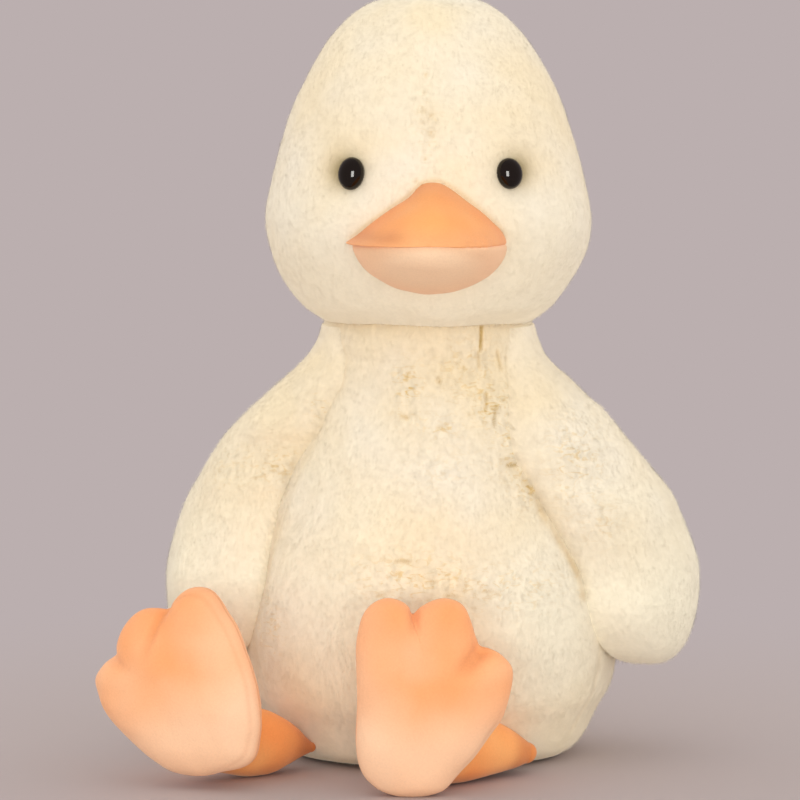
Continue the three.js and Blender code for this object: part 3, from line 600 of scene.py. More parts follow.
def torso_profile():
    """Radius and height from the middle of the seat to the top of the neck's dome: flat, then a
    curve through the profile shares, then a quarter circle."""
    shares = np.array(TORSO_PROFILE_SHARES) * [TORSO_WIDTH / 2, neck_pivot[2]]
    side = spline(np.vstack([[SEAT_RADIUS, 0], shares, [NECK_RADIUS, neck_pivot[2]]]), 400)
    turn = np.linspace(0, np.pi / 2, 60)[1:, None]
    dome = np.hstack([np.cos(turn), np.sin(turn)]) * NECK_RADIUS + [0, neck_pivot[2]]
    return np.vstack([[0, 0], side, dome])


def torso_grid(grow):
    """Each point of the profile swept round an ellipse, and the surface moved outwards by grow."""
    profile = even_steps(torso_profile(), TORSO_ROWS)
    turn = ring_angles(TORSO_AROUND)
    radius, height = profile[:, :1], profile[:, 1:]
    x = radius * np.cos(turn)
    y = radius * torso_flattening(height) * np.sin(turn)
    return pushed(np.stack([x, y, np.broadcast_to(height, x.shape)], axis=-1), grow)


def torso_radii(height):
    """The torso's half width and half depth at a height."""
    profile = torso_profile()
    radius = np.interp(height, profile[1:, 1], profile[1:, 0])
    return radius, radius * torso_flattening(height)


def torso_share(points):
    """How far out each point lies, as a share of the torso's own radius in that direction."""
    wide, deep = torso_radii(points[..., 2])
    return np.hypot(points[..., 0] / wide, points[..., 1] / deep)


def wing_edge(side, levels, ahead=0.0):
    """The line on the torso where a wing's front edge lies, or one some degrees ahead of it."""
    height, front = spline(np.array(levels)[:, :2], 40).T
    wide, deep = torso_radii(height)
    front = np.radians(front + ahead)
    return np.stack([side * wide * np.cos(front), -deep * np.sin(front), height], axis=1)


def blot(points, place, size):
    """A soft oval spot seen from the front, at a place across and up, with its own two sizes."""
    away = (points[..., 0] - place[0]) / size[0], (points[..., 2] - place[1]) / size[1]
    return np.exp(-(away[0] ** 2) - away[1] ** 2)


def ruffled(grid, front, spots):
    """The mark ruffle: soft spots, added up, on the front only."""
    return front * np.clip(sum(share * blot(grid, place, size) for place, size, share in spots), 0, 1)


def build_torso():
    """The profile's surface with its seams and partings drawn in and its stuffing uneven."""
    grid = torso_grid(-SKIN_DEPTH)
    x, y, z = np.moveaxis(grid, -1, 0)
    front = smooth(-y, *TORSO_FRONT_FADE)
    ruffle = ruffled(grid, front, TORSO_RUFFLES)
    side_seam = bump(y + SIDE_SEAM_AHEAD, SIDE_SEAM_REACH) * smooth(z, *SIDE_SEAM_LOW_FADE)
    side_seam = side_seam * SIDE_SEAM_SHARE * (1 - smooth(z, *SIDE_SEAM_HIGH_FADE))
    back_seam = bump(x, BACK_SEAM_REACH) * smooth(y, *BACK_SEAM_FADE) * smooth(z, *BACK_SEAM_LOW_FADE)
    base_seam = bump(z - BASE_SEAM_HEIGHT, BASE_SEAM_REACH)
    seams = np.clip(side_seam + back_seam + base_seam, 0, 1)
    flat = np.stack([x, z], axis=-1)
    lines = [(distance_to(flat, np.array(ends)), share) for *ends, share in PARTINGS]
    ticks = front * sum(share * bump(away, PARTING_REACH) for away, share in lines)
    off_floor = smooth(z, *OFF_FLOOR_FADE)
    lumps = uneven(grid, (26, 0.4, 12), (9, 0.1, 11)) + uneven(grid, (RUFFLE_SIZE, 0.22, 13)) * ruffle
    bulge = BASE_BULGE * bump(z - BASE_BULGE_HEIGHT, BASE_BULGE_REACH)
    bulge = bulge * smooth(np.hypot(x, y), *BASE_BULGE_FADE)
    drawn_in = (SEAM_DEPTH * seams + PARTING_DEPTH * ticks) * off_floor
    grid = pushed(grid, lumps * off_floor + bulge - drawn_in)
    grid[..., 2] = np.maximum(grid[..., 2], SEAT_HEIGHT)
    # Painted shade in the seams and partings, under the chin, along the neck's fold and beside the wings'
    # front edges
    throat_shade = front * (0.10 * smooth(z, *THROAT_FADE) + 0.16 * smooth(z, *UNDER_CHIN_FADE))
    broken = 0.7 + 0.3 * waves(grid, 9, 15)
    halfway_up = smooth(-np.abs(z - WING_PARTING_MIDDLE), *WING_PARTING_FADE)
    parting = np.zeros_like(x)
    for side, levels, share, reach in WING_PARTINGS:
        away = distance_to(grid, wing_edge(side, levels, WING_PARTING_AHEAD))
        parting += share * bump(away, reach) * broken * halfway_up
    low, high = NECK_FOLD_FADES
    fold_shade = bump(x - NECK_FOLD_ACROSS, NECK_FOLD_REACH) * smooth(z, *low) * (1 - smooth(z, *high)) * front
    # Painted light: two soft patches low on the belly's front are paler
    belly_light = 0.5 * blot(grid, (-30, 60), (26, 60)) + 0.8 * blot(grid, (40, 50), (24, 34))
    marks = {
        "warm_shade": np.clip(0.3 * seams + 0.85 * ticks + throat_shade + 0.25 * fold_shade + parting, 0, 1),
        "olive_shade": 0.35 * ticks**2,
        "ruffle": np.clip(ruffle + 0.4 * parting, 0, 1),
        "pale": np.clip(belly_light, 0, 1) * front,
        "short": np.clip(0.8 * seams + 0.8 * ticks + smooth(-z, -3, 0), 0, 1),
    }
    panels = [f"torso_{panel}_panel" for panel in ("base", "front", "back_left", "back_right")]
    nodes = [*panels, "torso_filling"]
    stuffed("torso_cover", grid, cream_backing, marks, "torso", nodes)
    # No pile grows under the seat or on the neck inside the head
    keep = lambda p: (p[..., 2] > 2.0) * (p[..., 2] < 166)
    coat("torso", "torso", grid, marks, downwards, 21, keep, parts=2)


build_torso()

# Head

HEAD_ROWS, HEAD_AROUND = 220, 340
HEAD_WIDTH, HEAD_DEPTH, HEAD_HEIGHT = 118.5, 106, 118
HEAD_BASE = neck_pivot[2] + 11.5
HEAD_FORWARD = 5
MOUTH_HEIGHT = HEAD_BASE + 31
HEAD_PROFILE_SHARES = [
    [0.64, 0.0], [0.79, 0.063], [0.948, 0.187], [1.0, 0.305], [0.956, 0.434], [0.855, 0.617],
    [0.745, 0.743], [0.595, 0.867], [0.4, 0.96], [0.2, 0.993], [0.0, 1.0],
]
HEAD_FRONT_FADE, CROWN_SEAM_REACH, CROWN_SEAM_FADE = (5, 30), 1.3, (160, 166)
# Small dimples of the forehead's seam: place across, height, and how deep
FOREHEAD_STITCHES = [
    [-0.8, 246.5, 0.9], [-1.3, 240.3, 0.6], [-1.4, 234.2, 0.7], [1.2, 232.4, 0.8], [-2.2, 229.8, 0.5],
    [0.6, 226.2, 0.9], [1.8, 225.2, 0.7], [-1.0, 217.4, 0.9], [-4.4, 209.6, 0.9], [-2.0, 208.2, 0.5],
]
STITCH_REACH, STITCH_DEPTH = 0.7, 0.7
BILL_OUTLINE = np.array([
    [27.0, -0.6], [25.8, 3.2], [22.2, 7.3], [15.6, 13.0], [8.0, 18.8], [4.6, 20.6], [1.2, 21.0], [-2.2, 20.2],
    [-6.6, 16.2], [-13.2, 11.7], [-22.0, 5.1], [-25.6, 2.0], [-28.6, -0.6],
])
EYE_ACROSS, EYE_HEIGHT, EYE_SHIFT = 28.2, 212.3, 0.8
EYE_TALL = {"left": 0.92, "right": 0.97}
# Each eye sits in a dimple, with a small swelling inside it, painted olive shade outside it, and a
# yellower fringe of painted shade outside that: how strong, how far it reaches, and how far outwards, back
# and up it is
SOCKET_DEPTH, SOCKET_REACH = 2.2, 8
SWELL_HEIGHT, SWELL_REACH, SWELL_PLACE = 0.9, 3.2, (-7.0, 0, -3.5)
SHADE_SHARE, SHADE_REACH, SHADE_PLACE = 0.95, 6.0, (3.8, 0.5, 1.5)
SHADE_FRINGE_SHARE, SHADE_FRINGE_REACH, SHADE_FRINGE_PLACE = 0.3, 6.5, (4.0, 1.0, 2.5)
# The pile is tucked in round the upper half of the bill, and is painted with shade there
TUCK_REACH, TUCK_FADE = 1.0, (MOUTH_HEIGHT - 1, MOUTH_HEIGHT + 3)
# Added to the distances at the back of the head, which keeps the tuck on its front
BEHIND = 40
CHEEK_FADE = 160, 215
HEAD_PILE_FULLNESS = 0.85


def head_profile():
    """Radius and height above the chin: flat under the chin, then a curve through the shares."""
    side = spline(np.array(HEAD_PROFILE_SHARES) * [HEAD_WIDTH / 2, HEAD_HEIGHT], 500)
    return np.vstack([[0, 0], side])


def head_grid(grow):
    """The head's profile swept round an ellipse that stands a little in front of the neck."""
    profile = even_steps(head_profile(), HEAD_ROWS)
    turn = ring_angles(HEAD_AROUND)
    radius, height = profile[:, :1], profile[:, 1:]
    x = radius * np.cos(turn)
    y = radius * HEAD_DEPTH / HEAD_WIDTH * np.sin(turn) - HEAD_FORWARD
    return pushed(np.stack([x, y, np.broadcast_to(height + HEAD_BASE, x.shape)], axis=-1), grow)


def face_point(across, height):
    """The point on the head's front at a place across and a height."""
    profile = head_profile()
    radius = np.interp(height - HEAD_BASE, profile[1:, 1], profile[1:, 0])
    deep = np.sqrt(radius**2 - across**2) * HEAD_DEPTH / HEAD_WIDTH
    return np.array([across, -HEAD_FORWARD - deep, height])


def build_head():
    """The profile's surface, drawn in at the middle seam, its stitches and the eyes."""
    grid = head_grid(-SKIN_DEPTH)
    x, y, z = np.moveaxis(grid, -1, 0)
    front = smooth(-y, *HEAD_FRONT_FADE)
    seam = bump(x, CROWN_SEAM_REACH) * smooth(z, *CROWN_SEAM_FADE)
    stitches = np.zeros_like(x)
    for across, height, deep in FOREHEAD_STITCHES:
        stitches += deep * bump(np.hypot(x - across, z - height), STITCH_REACH) * front
    depth = 0.3 * seam * (1 - front) + 0.12 * seam + STITCH_DEPTH * stitches
    spot = lambda place, reach: bump(np.linalg.norm(grid - place, axis=-1), reach)
    # Painted shade round each eye: olive beside it and a yellower fringe further out
    olive_shade, shade_fringe = np.zeros_like(x), np.zeros_like(x)
    for side in (-1, 1):
        outwards = [side, 1, 1]
        middle = face_point(side * EYE_ACROSS + EYE_SHIFT, EYE_HEIGHT)
        shade = middle + np.multiply(SHADE_PLACE, outwards)
        depth = depth + SOCKET_DEPTH * spot(middle, SOCKET_REACH)
        depth = depth - SWELL_HEIGHT * spot(middle + np.multiply(SWELL_PLACE, outwards), SWELL_REACH)
        olive_shade += SHADE_SHARE * spot(shade, SHADE_REACH)
        shade_fringe += SHADE_FRINGE_SHARE * spot(shade + np.multiply(SHADE_FRINGE_PLACE, outwards), SHADE_FRINGE_REACH)
    flat = np.stack([x, z], axis=-1)
    outline = spline(BILL_OUTLINE, 120, pace=0.5) + [0, MOUTH_HEIGHT]
    tuck = bump(distance_to(flat, outline) + BEHIND * (1 - front), TUCK_REACH) * smooth(z, *TUCK_FADE)
    grid = pushed(grid, uneven(grid, (30, 0.3, 32), (8, 0.06, 33)) - depth)
    forehead_shade = front * blot(grid, (0.5, 231), (3.5, 7))
    # Painted shade in the stitches' dimples, where the pile tucks round the bill and on a spot of the
    # forehead's seam; painted light makes the head paler from the eyes down to the chin
    marks = {
        "warm_shade": np.clip(0.42 * stitches + 0.45 * tuck + 0.12 * forehead_shade + shade_fringe, 0, 1),
        "olive_shade": np.clip(olive_shade, 0, 1),
        "pale": 0.8 * (1 - smooth(z, *CHEEK_FADE)),
        "ruffle": 0.4 * front * blot(grid, (0, 229), (4, 9)),
        "short": np.clip(0.6 * stitches + 0.6 * olive_shade + 0.5 * tuck, 0, 1),
    }
    nodes = ["head_left_panel", "head_right_panel", "head_filling"]
    stuffed("head_cover", grid, cream_backing, marks, "head", nodes)
    # No pile grows under the chin where the neck goes in
    keep = lambda p: 1.0 - (p[..., 2] < HEAD_BASE + 1) * (np.hypot(p[..., 0], p[..., 1]) < NECK_RADIUS - 4)
    coat("head", "head", grid, marks, downwards, 41, keep, parts=2, fullness=HEAD_PILE_FULLNESS)


build_head()

# Eyes. The button's profile: radius from its axis, and height out of the seat.

EYE_SEAT_DEPTH = 2.2
EYE_RADIUS, EYE_RIM, EYE_DOME = 6.0, 1.0, 4.1
EYE_WIDE = 0.8
EYE_BACK = [[0, -3.0], [2.0, -3.0], [2.0, -0.1], [5.6, -0.1], [5.9, 0.1]]


def build_eye(side):
    """A domed button, a little taller than wide: a short rim and an ellipse of revolution, turned
    about the line out of the face."""
    node = f"eye_{side}"
    low, high = span(node)
    across = math.copysign(EYE_ACROSS, low[0] + high[0]) + EYE_SHIFT
    out = unit(np.cross(
        face_point(across + EYE_RADIUS, EYE_HEIGHT) - face_point(across - EYE_RADIUS, EYE_HEIGHT),
        face_point(across, EYE_HEIGHT + EYE_RADIUS) - face_point(across, EYE_HEIGHT - EYE_RADIUS),
    ))
    seat = face_point(across, EYE_HEIGHT) - out * EYE_SEAT_DEPTH
    turn = np.linspace(0, np.pi / 2, 26)
    dome = np.stack([EYE_RADIUS * np.cos(turn), EYE_RIM + EYE_DOME * np.sin(turn)], axis=1)
    profile = np.vstack([EYE_BACK, dome])
    ring = ring_angles(72)
    level = unit(np.cross(out, [0, 0, 1.0]))
    upright = np.cross(level, out)
    circle = EYE_WIDE * np.cos(ring)[:, None] * level + EYE_TALL[side] * np.sin(ring)[:, None] * upright
    grid = seat + profile[:, :1, None] * circle + profile[:, 1:, None] * out
    made = closed_piece(f"eye_button_{side}", grid, eye_plastic)
    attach(made, "head")
    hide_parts(node)


# Moulded and polished acrylic: deep black with a warm edge, and one clear highlight
eye_plastic = simple_material(
    "polished_black_acrylic", "#120904", 0.08, 0.5, 0.0, **{"IOR": 1.49, "Specular IOR Level": 0.3}
)
build_eye("left")
build_eye("right")

# Bill. Heights are measured from the mouth line.

BILL_AROUND, BILL_ROWS = 200, 90
BILL_ROOT = 17
UPPER_BILL = np.vstack([BILL_OUTLINE, [[-26.0, -1.0], [-14, -1.1], [0, -1.1], [14, -1.1], [25.6, -1.2]]])
LOWER_BILL = np.array([
    [27.0, -1.4], [26.0, -6.4], [22.4, -10.8], [15.0, -15.4], [5.0, -18.0], [-4.6, -17.9], [-13.0, -15.4],
    [-20.4, -11.0], [-24.8, -5.8], [-26.2, -1.2], [-23.5, 0.8], [-12, 0.9], [0, 0.9], [12, 0.9], [24.0, 0.4],
])
BILL_HALVES = [("upper", UPPER_BILL, 29), ("lower", LOWER_BILL, 28.0)]
SOFTENING_ROUNDS = 400
BILL_TIP_FADE, BILL_EDGE_FADE = (0.35, 0.85), (2, 8)
WRINKLES_PLACE, WRINKLES_SIZE, WRINKLE_SIZE, WRINKLE_HEIGHT = (17, 1.0), (7, 3.2), 4.5, 0.28
# A shallow groove runs just above the mouth line on the duck's right side, with painted pinkish shade along
# it
GROOVE_HEIGHT, GROOVE_REACH, GROOVE_DEPTH, GROOVE_FADE = 3.5, 2.2, 0.4, (2, 16)
GROOVE_SHADE_HEIGHT, GROOVE_SHADE_REACH, GROOVE_SHADE_FADE = 2.4, 2.6, (4, 14)
# Painted shade on its rim, where it goes into the face: the place along it, from -1 at the tip to 1 at the
# root
BILL_RIM, BILL_RIM_REACH, BILL_RIM_FADE = -0.08, 0.1, (0, 4)


def bill_grid(outline, length):
    """Half a bill: its outline shrinks to a point at the tip and at the root, as a sine to the power
    0.9, and is widest inside the head. Towards the tip the outline's corners are softened."""
    ring = spline(outline, BILL_AROUND, closed=True, pace=0.5)
    softened = ring
    for _ in range(SOFTENING_ROUNDS):
        softened = (np.roll(softened, 1, axis=0) + 2 * softened + np.roll(softened, -1, axis=0)) / 4
    along = np.linspace(0, np.pi, BILL_ROWS)[:, None]
    root = face_point(0, MOUTH_HEIGHT)[1] + BILL_ROOT
    size = np.sin(along) ** 0.9 * 1.03
    forward = np.broadcast_to(np.cos(along) * (BILL_ROOT + length), (BILL_ROWS, BILL_AROUND))
    blunt = smooth(np.cos(along), *BILL_TIP_FADE) * smooth(np.abs(ring[:, 1]), *BILL_EDGE_FADE)
    across = ring[:, 0] + blunt * (softened[:, 0] - ring[:, 0])
    up = ring[:, 1] + blunt * (softened[:, 1] - ring[:, 1])
    return np.stack([size * across, root - forward, MOUTH_HEIGHT + size * up], axis=-1)


def bill_marks(half, x, up):
    """Painted shade makes the upper half warmer at its crown, its rim and along its groove, and painted
    light makes it paler by the mouth line; the lower half is painted pale, as light, with a little shade at
    its top.
    """
    if half == "lower":
        middle = np.clip(1 - np.hypot(x / 24, (up + 8) / 11), 0, 1)
        return {"warm_shade": 0.06 * smooth(up, -3, 0), "pale": 0.75 + 0.25 * smooth(middle, 0, 0.6)}
    groove_shade = bump(up - GROOVE_SHADE_HEIGHT, GROOVE_SHADE_REACH) * (0.35 * smooth(-x, *GROOVE_SHADE_FADE) + 0.1)
    along = np.linspace(-1, 1, BILL_ROWS)[:, None]
    rim = bump(along - BILL_RIM, BILL_RIM_REACH) * smooth(up, *BILL_RIM_FADE)
    warm_shade = 0.22 * smooth(up, 12, 21) + 0.45 * rim + groove_shade
    return {"warm_shade": np.clip(warm_shade, 0, 1), "pale": 0.2 * (1 - smooth(up, 0, 9))}


def build_bill():
    """Both halves, with fine wrinkles near the mouth line's end on the duck's left side."""
    for half, outline, length in BILL_HALVES:
        grid = bill_grid(outline, length)
        x, y, z = np.moveaxis(grid, -1, 0)
        up = z - MOUTH_HEIGHT
        (across, high), (wide, tall) = WRINKLES_PLACE, WRINKLES_SIZE
        near = np.exp(-((up - high) / tall) ** 2 - ((x - across) / wide) ** 2)
        folds = WRINKLE_HEIGHT * (near * waves(grid, WRINKLE_SIZE, 51)) + uneven(grid, (9, 0.10, 52))
        groove = GROOVE_DEPTH * bump(up - GROOVE_HEIGHT, GROOVE_REACH) * smooth(-x, *GROOVE_FADE)
        nodes = [f"bill_{half}_cover", f"bill_{half}_filling"]
        grid = pushed(grid, folds - groove)
        stuffed(f"bill_{half}", grid, bill_suede, bill_marks(half, x, up), "head", nodes)


build_bill()

# Wings

WING_ROWS, WING_AROUND = 150, 160
WING_TIP, WING_ROUND = 33, 62
WING_TIP_ACROSS, WING_TIP_DEEP = 82, -5
EDGE_SINK, EDGE_EASE, LEAST_STAND = 0.03, 0.015, 0.004
CROWN_HEIGHTS, WING_CROWNS = [88, 100, 116], [1.3, 1.5, 2.6]
WING_FRONT_FADE, OFF_TORSO_FADE = (0, 12), (1.0, 1.12)
SHOULDER_FADE, WING_PALE_FADE = (138, 150), (45, 120)
TUCK_WIDTH = 2.0
# Beside the front edge the pile is thicker and combed in over the torso's
FRINGE_WIDTH, FRINGE_DENSITY, FRINGE_COMB = 3.5, 1.5, (-1.3, -0.5, 0.3)
LEFT_WING_RUFFLES = [[(52, 110), (9, 14), 0.6], [(62, 88), (8, 8), 0.3]]
RIGHT_WING_RUFFLES = [[(-54, 107), (9, 7), 0.6], [(-39, 128), (4, 5), 0.7], [(-72, 105), (8, 8), 0.3]]


def wing_grid(side, levels, shrink):
    """A pad on the torso's side. Round each level ring, the angle about the torso swings as a sine
    between the two edges. The pad stands off the torso by a power of the cosine on its outer half,
    and lies on it on its inner half. The power is higher at the shoulder, where the pad runs out
    of the torso with no crease, and the edges lie a little under the torso's skin. The lower end
    is rounded off to a point. What would lie deeper in the torso is eased out to that depth."""
    table = spline(levels, WING_ROWS)
    round_end = np.linspace(0, np.pi / 2, 40)[1:, None]
    last = np.repeat(table[-1:], len(round_end), axis=0)
    height, front, back, reach = np.vstack([table, last]).T[..., None]
    size = np.vstack([np.ones((WING_ROWS, 1)), np.cos(round_end) ** 0.8])
    size[0] = 0
    turn = ring_angles(WING_AROUND)
    drop = np.vstack([np.zeros((WING_ROWS, 1)), (WING_ROUND - WING_TIP - shrink) * np.sin(round_end)])
    wide, deep = torso_radii(height - drop)
    angle = np.radians((back - front) / 2 + (front + back) / 2 * np.sin(turn))
    crown = np.interp(height, CROWN_HEIGHTS, WING_CROWNS)
    out = np.maximum(np.cos(turn), 0) ** crown
    share = 1 - EDGE_SINK + np.maximum((reach - shrink) / wide - 1 + EDGE_SINK, LEAST_STAND) * out
    x, y = share * wide * np.cos(angle), share * deep * np.sin(angle)
    middle_x = np.where(drop > 0, WING_TIP_ACROSS, x.mean(axis=1, keepdims=True))
    middle_y = np.where(drop > 0, WING_TIP_DEEP, y.mean(axis=1, keepdims=True))
    x = middle_x + (x - middle_x) * size
    y = middle_y + (y - middle_y) * size
    grid = np.stack([side * x, y, np.broadcast_to(height - drop, x.shape)], axis=-1)
    over = (1 - EDGE_SINK) / torso_share(grid) - 1
    grid[..., :2] *= 1 + (over + np.hypot(over, EDGE_EASE))[..., None] / 2
    return grid


def build_wing(name, side, levels, spots, seed):
    """A wing. Its cover and its pile ride on no body, and their transforms are applied to their meshes."""
    grid = wing_grid(side, levels, SKIN_DEPTH)
    x, y, z = np.moveaxis(grid, -1, 0)
    ruffle = ruffled(grid, smooth(-y, *WING_FRONT_FADE), spots)
    lumps = uneven(grid, (24, 0.45, seed), (9, 0.08, seed + 1))
    lumps = lumps + uneven(grid, (RUFFLE_SIZE, 0.18, seed + 2)) * ruffle
    grid = pushed(grid, lumps * smooth(torso_share(grid), *OFF_TORSO_FADE))
    edge = wing_edge(side, levels)
    # Painted shade where the front edge lies on the torso, and painted light that makes the wing paler
    # towards its lower end
    marks = {
        "warm_shade": 0.12 * bump(distance_to(grid, edge), TUCK_WIDTH),
        "ruffle": ruffle,
        "short": 0.4 * smooth(z, *SHOULDER_FADE),
        "pale": 1 - smooth(z, *WING_PALE_FADE),
    }
    nodes = [f"{name}_outer_panel", f"{name}_inner_panel", f"{name}_filling"]
    skin = stuffed(f"{name}_cover", grid, cream_backing, marks, None, nodes)
    near = lambda p: bump(distance_to(p, edge), FRINGE_WIDTH)
    # Where the pad lies on the torso, it needs hardly any pile
    keep = lambda p: (torso_share(p) > 1.003) * (1 + FRINGE_DENSITY * near(p)) + 0.1
    inwards = np.multiply(FRINGE_COMB, [side, 1, 1])
    uneasy = lambda p: (0.8 + 0.6 * waves(p, 7, seed + 9))[:, None]
    comb = lambda p: downwards(p) + near(p)[:, None] * inwards * uneasy(p)
    pile = coat(name, None, grid, marks, comb, seed + 3, keep)
    for piece in (skin, pile):
        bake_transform(piece)


build_wing("wing_left", 1, LEFT_WING_LEVELS, LEFT_WING_RUFFLES, 61)
build_wing("wing_right", -1, RIGHT_WING_LEVELS, RIGHT_WING_RUFFLES, 71)

# Tail

TAIL_LENGTH, TAIL_WIDTH, TAIL_THICKNESS = 46, 34, 20
TAIL_INSET = 12
TAIL_PITCH = math.radians(38)


def build_tail():
    """A ball drawn out to the tail's half width, thickness and length, on a line that rises
    backwards. Its rings go with a sine to the power 2/3, which makes it fuller than round."""
    root = hinge_of("tail_flex")
    out = np.array([0, math.cos(TAIL_PITCH), math.sin(TAIL_PITCH)])
    over = np.array([0, -math.sin(TAIL_PITCH), math.cos(TAIL_PITCH)])
    turn = ring_angles(90)[None, :, None]
    along = np.linspace(0, np.pi, 70)[:, None, None]
    size = np.sin(along) ** (2 / 3)
    long, wide, thick = (full / 2 - SKIN_DEPTH for full in (TAIL_LENGTH, TAIL_WIDTH, TAIL_THICKNESS))
    centre = root + out * (TAIL_LENGTH / 2 - TAIL_INSET - long * np.cos(along))
    sideways = size * np.cos(turn) * wide * np.array([1.0, 0, 0])
    grid = centre + sideways + size * np.sin(turn) * thick * over
    grid = pushed(grid, uneven(grid, (9, 0.25, 81)))
    marks = {"warm_shade": np.zeros(grid.shape[:2])}
    nodes = ["tail_cover", "tail_filling"]
    stuffed("tail_cover_fabric", grid, cream_backing, marks, "tail", nodes)
    coat("tail", "tail", grid, marks, lambda p: np.tile(out, (len(p), 1)), 82)


build_tail()

# Legs and feet

FOOT_LENGTH, FOOT_WIDTH, FOOT_THICKNESS = 66.5, 54, 19
ANKLE_RADIUS, ANKLE_INSET, HEEL_FLAT = 12, 4, 0.5
# How far off the floor they stay, and where the feet start to swell above it
LEG_HEIGHT, FOOT_HEIGHT, FOOT_LOW_FADE = 0.3, 0.05, (0, 4)
# A leg is painted darker by its hip and by the floor, where shade falls
HIP_FADE, LEG_LOW_FADE = (3, 13), (0, 7)
SOLE_FADE, CREASE_FADE, FOOT_SEAM_REACH = (-1, 4), (0.35, 1.0), 0.5
# The seam shows as a shallow line with painted shade inside the sole's edge, on a foot's left half, and on
# the left foot by the heel only. Its place and width are shares of the outline's size.
RIM, RIM_WIDTH, RIM_DEPTH, RIM_ACROSS_FADE, RIM_HEEL_FADE = 0.94, 0.02, 0.16, (2, 18), (2, 12)
# Outlines from a foot's middle, outwards and up, as shares of its width and length
LEFT_FOOT_SHARES = [
    [0.49, 0.145], [0.476, 0.18], [0.424, 0.226], [0.347, 0.252], [0.275, 0.27], [0.248, 0.318],
    [0.227, 0.396], [0.187, 0.47], [0.13, 0.51], [0.053, 0.525], [-0.022, 0.513], [-0.1, 0.478],
    [-0.145, 0.446], [-0.17, 0.482], [-0.227, 0.516], [-0.312, 0.53], [-0.4, 0.505], [-0.462, 0.448],
    [-0.495, 0.355], [-0.507, 0.2], [-0.513, 0.0], [-0.51, -0.244], [-0.49, -0.348], [-0.44, -0.424],
    [-0.372, -0.468], [-0.27, -0.5], [-0.165, -0.512], [-0.066, -0.507], [0.035, -0.478], [0.17, -0.384],
    [0.266, -0.306], [0.364, -0.195], [0.436, -0.1], [0.474, 0.03],
]
RIGHT_FOOT_SHARES = [
    [0.525, 0.156], [0.495, 0.191], [0.431, 0.219], [0.357, 0.236], [0.324, 0.25], [0.285, 0.303],
    [0.223, 0.372], [0.147, 0.422], [0.059, 0.446], [-0.039, 0.438], [-0.123, 0.418], [-0.174, 0.438],
    [-0.238, 0.46], [-0.309, 0.469], [-0.372, 0.459], [-0.427, 0.429], [-0.461, 0.377], [-0.495, 0.296],
    [-0.526, 0.207], [-0.546, 0.05], [-0.547, -0.101], [-0.525, -0.21], [-0.487, -0.333], [-0.453, -0.391],
    [-0.386, -0.466], [-0.296, -0.5], [-0.164, -0.506], [-0.015, -0.488], [0.086, -0.46], [0.18, -0.418],
    [0.268, -0.356], [0.349, -0.278], [0.439, -0.168], [0.504, -0.047], [0.527, 0.065],
]
# Creases of the sole: both ends as such shares, how wide and how deep
LEFT_CREASES = [([-0.139, 0.45], [-0.15, 0.30], 2.0, 0.9), ([0.30, 0.27], [0.10, 0.10], 3.0, 1.8)]
RIGHT_CREASES = [([-0.13, 0.43], [0.16, 0.10], 1.7, 1.1), ([0.33, 0.25], [0.2, 0.12], 2.4, 0.8)]
# How far each foot is turned and leans over, and how far its heel is off the floor
LEFT_STANCE = math.radians(2), 0.0, 0.0
RIGHT_STANCE = math.radians(-20), math.radians(18), 4.7
# Places along each leg from the hip on, before its ankle, and the radius at each and at the ankle
LEFT_LEG = [[34.5, -48, 7.6], [30.5, -50.3, 8.6], [25, -54, 10.0], [17, -60, 11.3], [10, -66, 12]]
LEFT_LEG_RADII = [3.6, 6.0, 8.4, 10.8, 11.8, 11.5]
RIGHT_LEG = [[-42, -36.8, 7.6], [-45.5, -39.3, 8.4], [-49.5, -42.1, 9.4], [-55, -46, 10.8], [-63, -51.6, 12]]
RIGHT_LEG_RADII = [1.8, 4.2, 7.2, 10.4, 12.0, 10.6]


def leg_grid(points, radii):
    """A tube along a curve through points, whose radius follows a curve through the radii, with a
    quarter circle's rounding at each end."""
    path = spline(np.column_stack([points, radii]), 60)
    run = unit(np.gradient(path[:, :3], axis=0))
    level = unit(np.cross([0, 0, 1.0], run))
    upright = np.cross(run, level)
    turn = np.linspace(0, np.pi / 2, 20)[:-1]

    def round_end(at, way):
        """Rings that close the tube at an end, from the tip inwards."""
        place, radius = path[at, :3], path[at, 3]
        return [(place + way * run[at] * radius * np.cos(t), radius * np.sin(t), at) for t in turn]

    between = [(place[:3], place[3], i) for i, place in enumerate(path)]
    centre, radius, at = zip(*round_end(0, -1), *between, *round_end(-1, 1)[::-1])
    centre, radius, at = np.array(centre)[:, None, :], np.array(radius)[:, None, None], list(at)
    ring = ring_angles(96)[None, :, None]
    return centre + radius * (np.cos(ring) * level[at][:, None, :] + np.sin(ring) * upright[at][:, None, :])


def foot_frame(side, ankle, turn, lean, heel_rise, shares):
    """A foot's outline, its across, up and facing directions, and its middle: up the foot from the
    ankle so that the heel is at its height, and out of the ankle by the foot's own depth."""
    facing = np.array([math.sin(turn), -math.cos(turn), 0])
    slant = -side * lean
    up = np.array([0, 0, math.cos(slant)]) + np.cross(facing, [0, 0, 1.0]) * math.sin(slant)
    across = np.cross(up, facing)
    outline = spline(np.array(shares) * [side * FOOT_WIDTH, FOOT_LENGTH], 360, closed=True, pace=0.5)
    rise = heel_rise - np.min(outline[:, 0] * across[2] + outline[:, 1] * up[2]) - HEEL_FLAT - ankle[2]
    middle = ankle + up * rise / up[2] + facing * (ANKLE_RADIUS + FOOT_THICKNESS / 2 - ANKLE_INSET)
    return outline, across, up, facing, middle


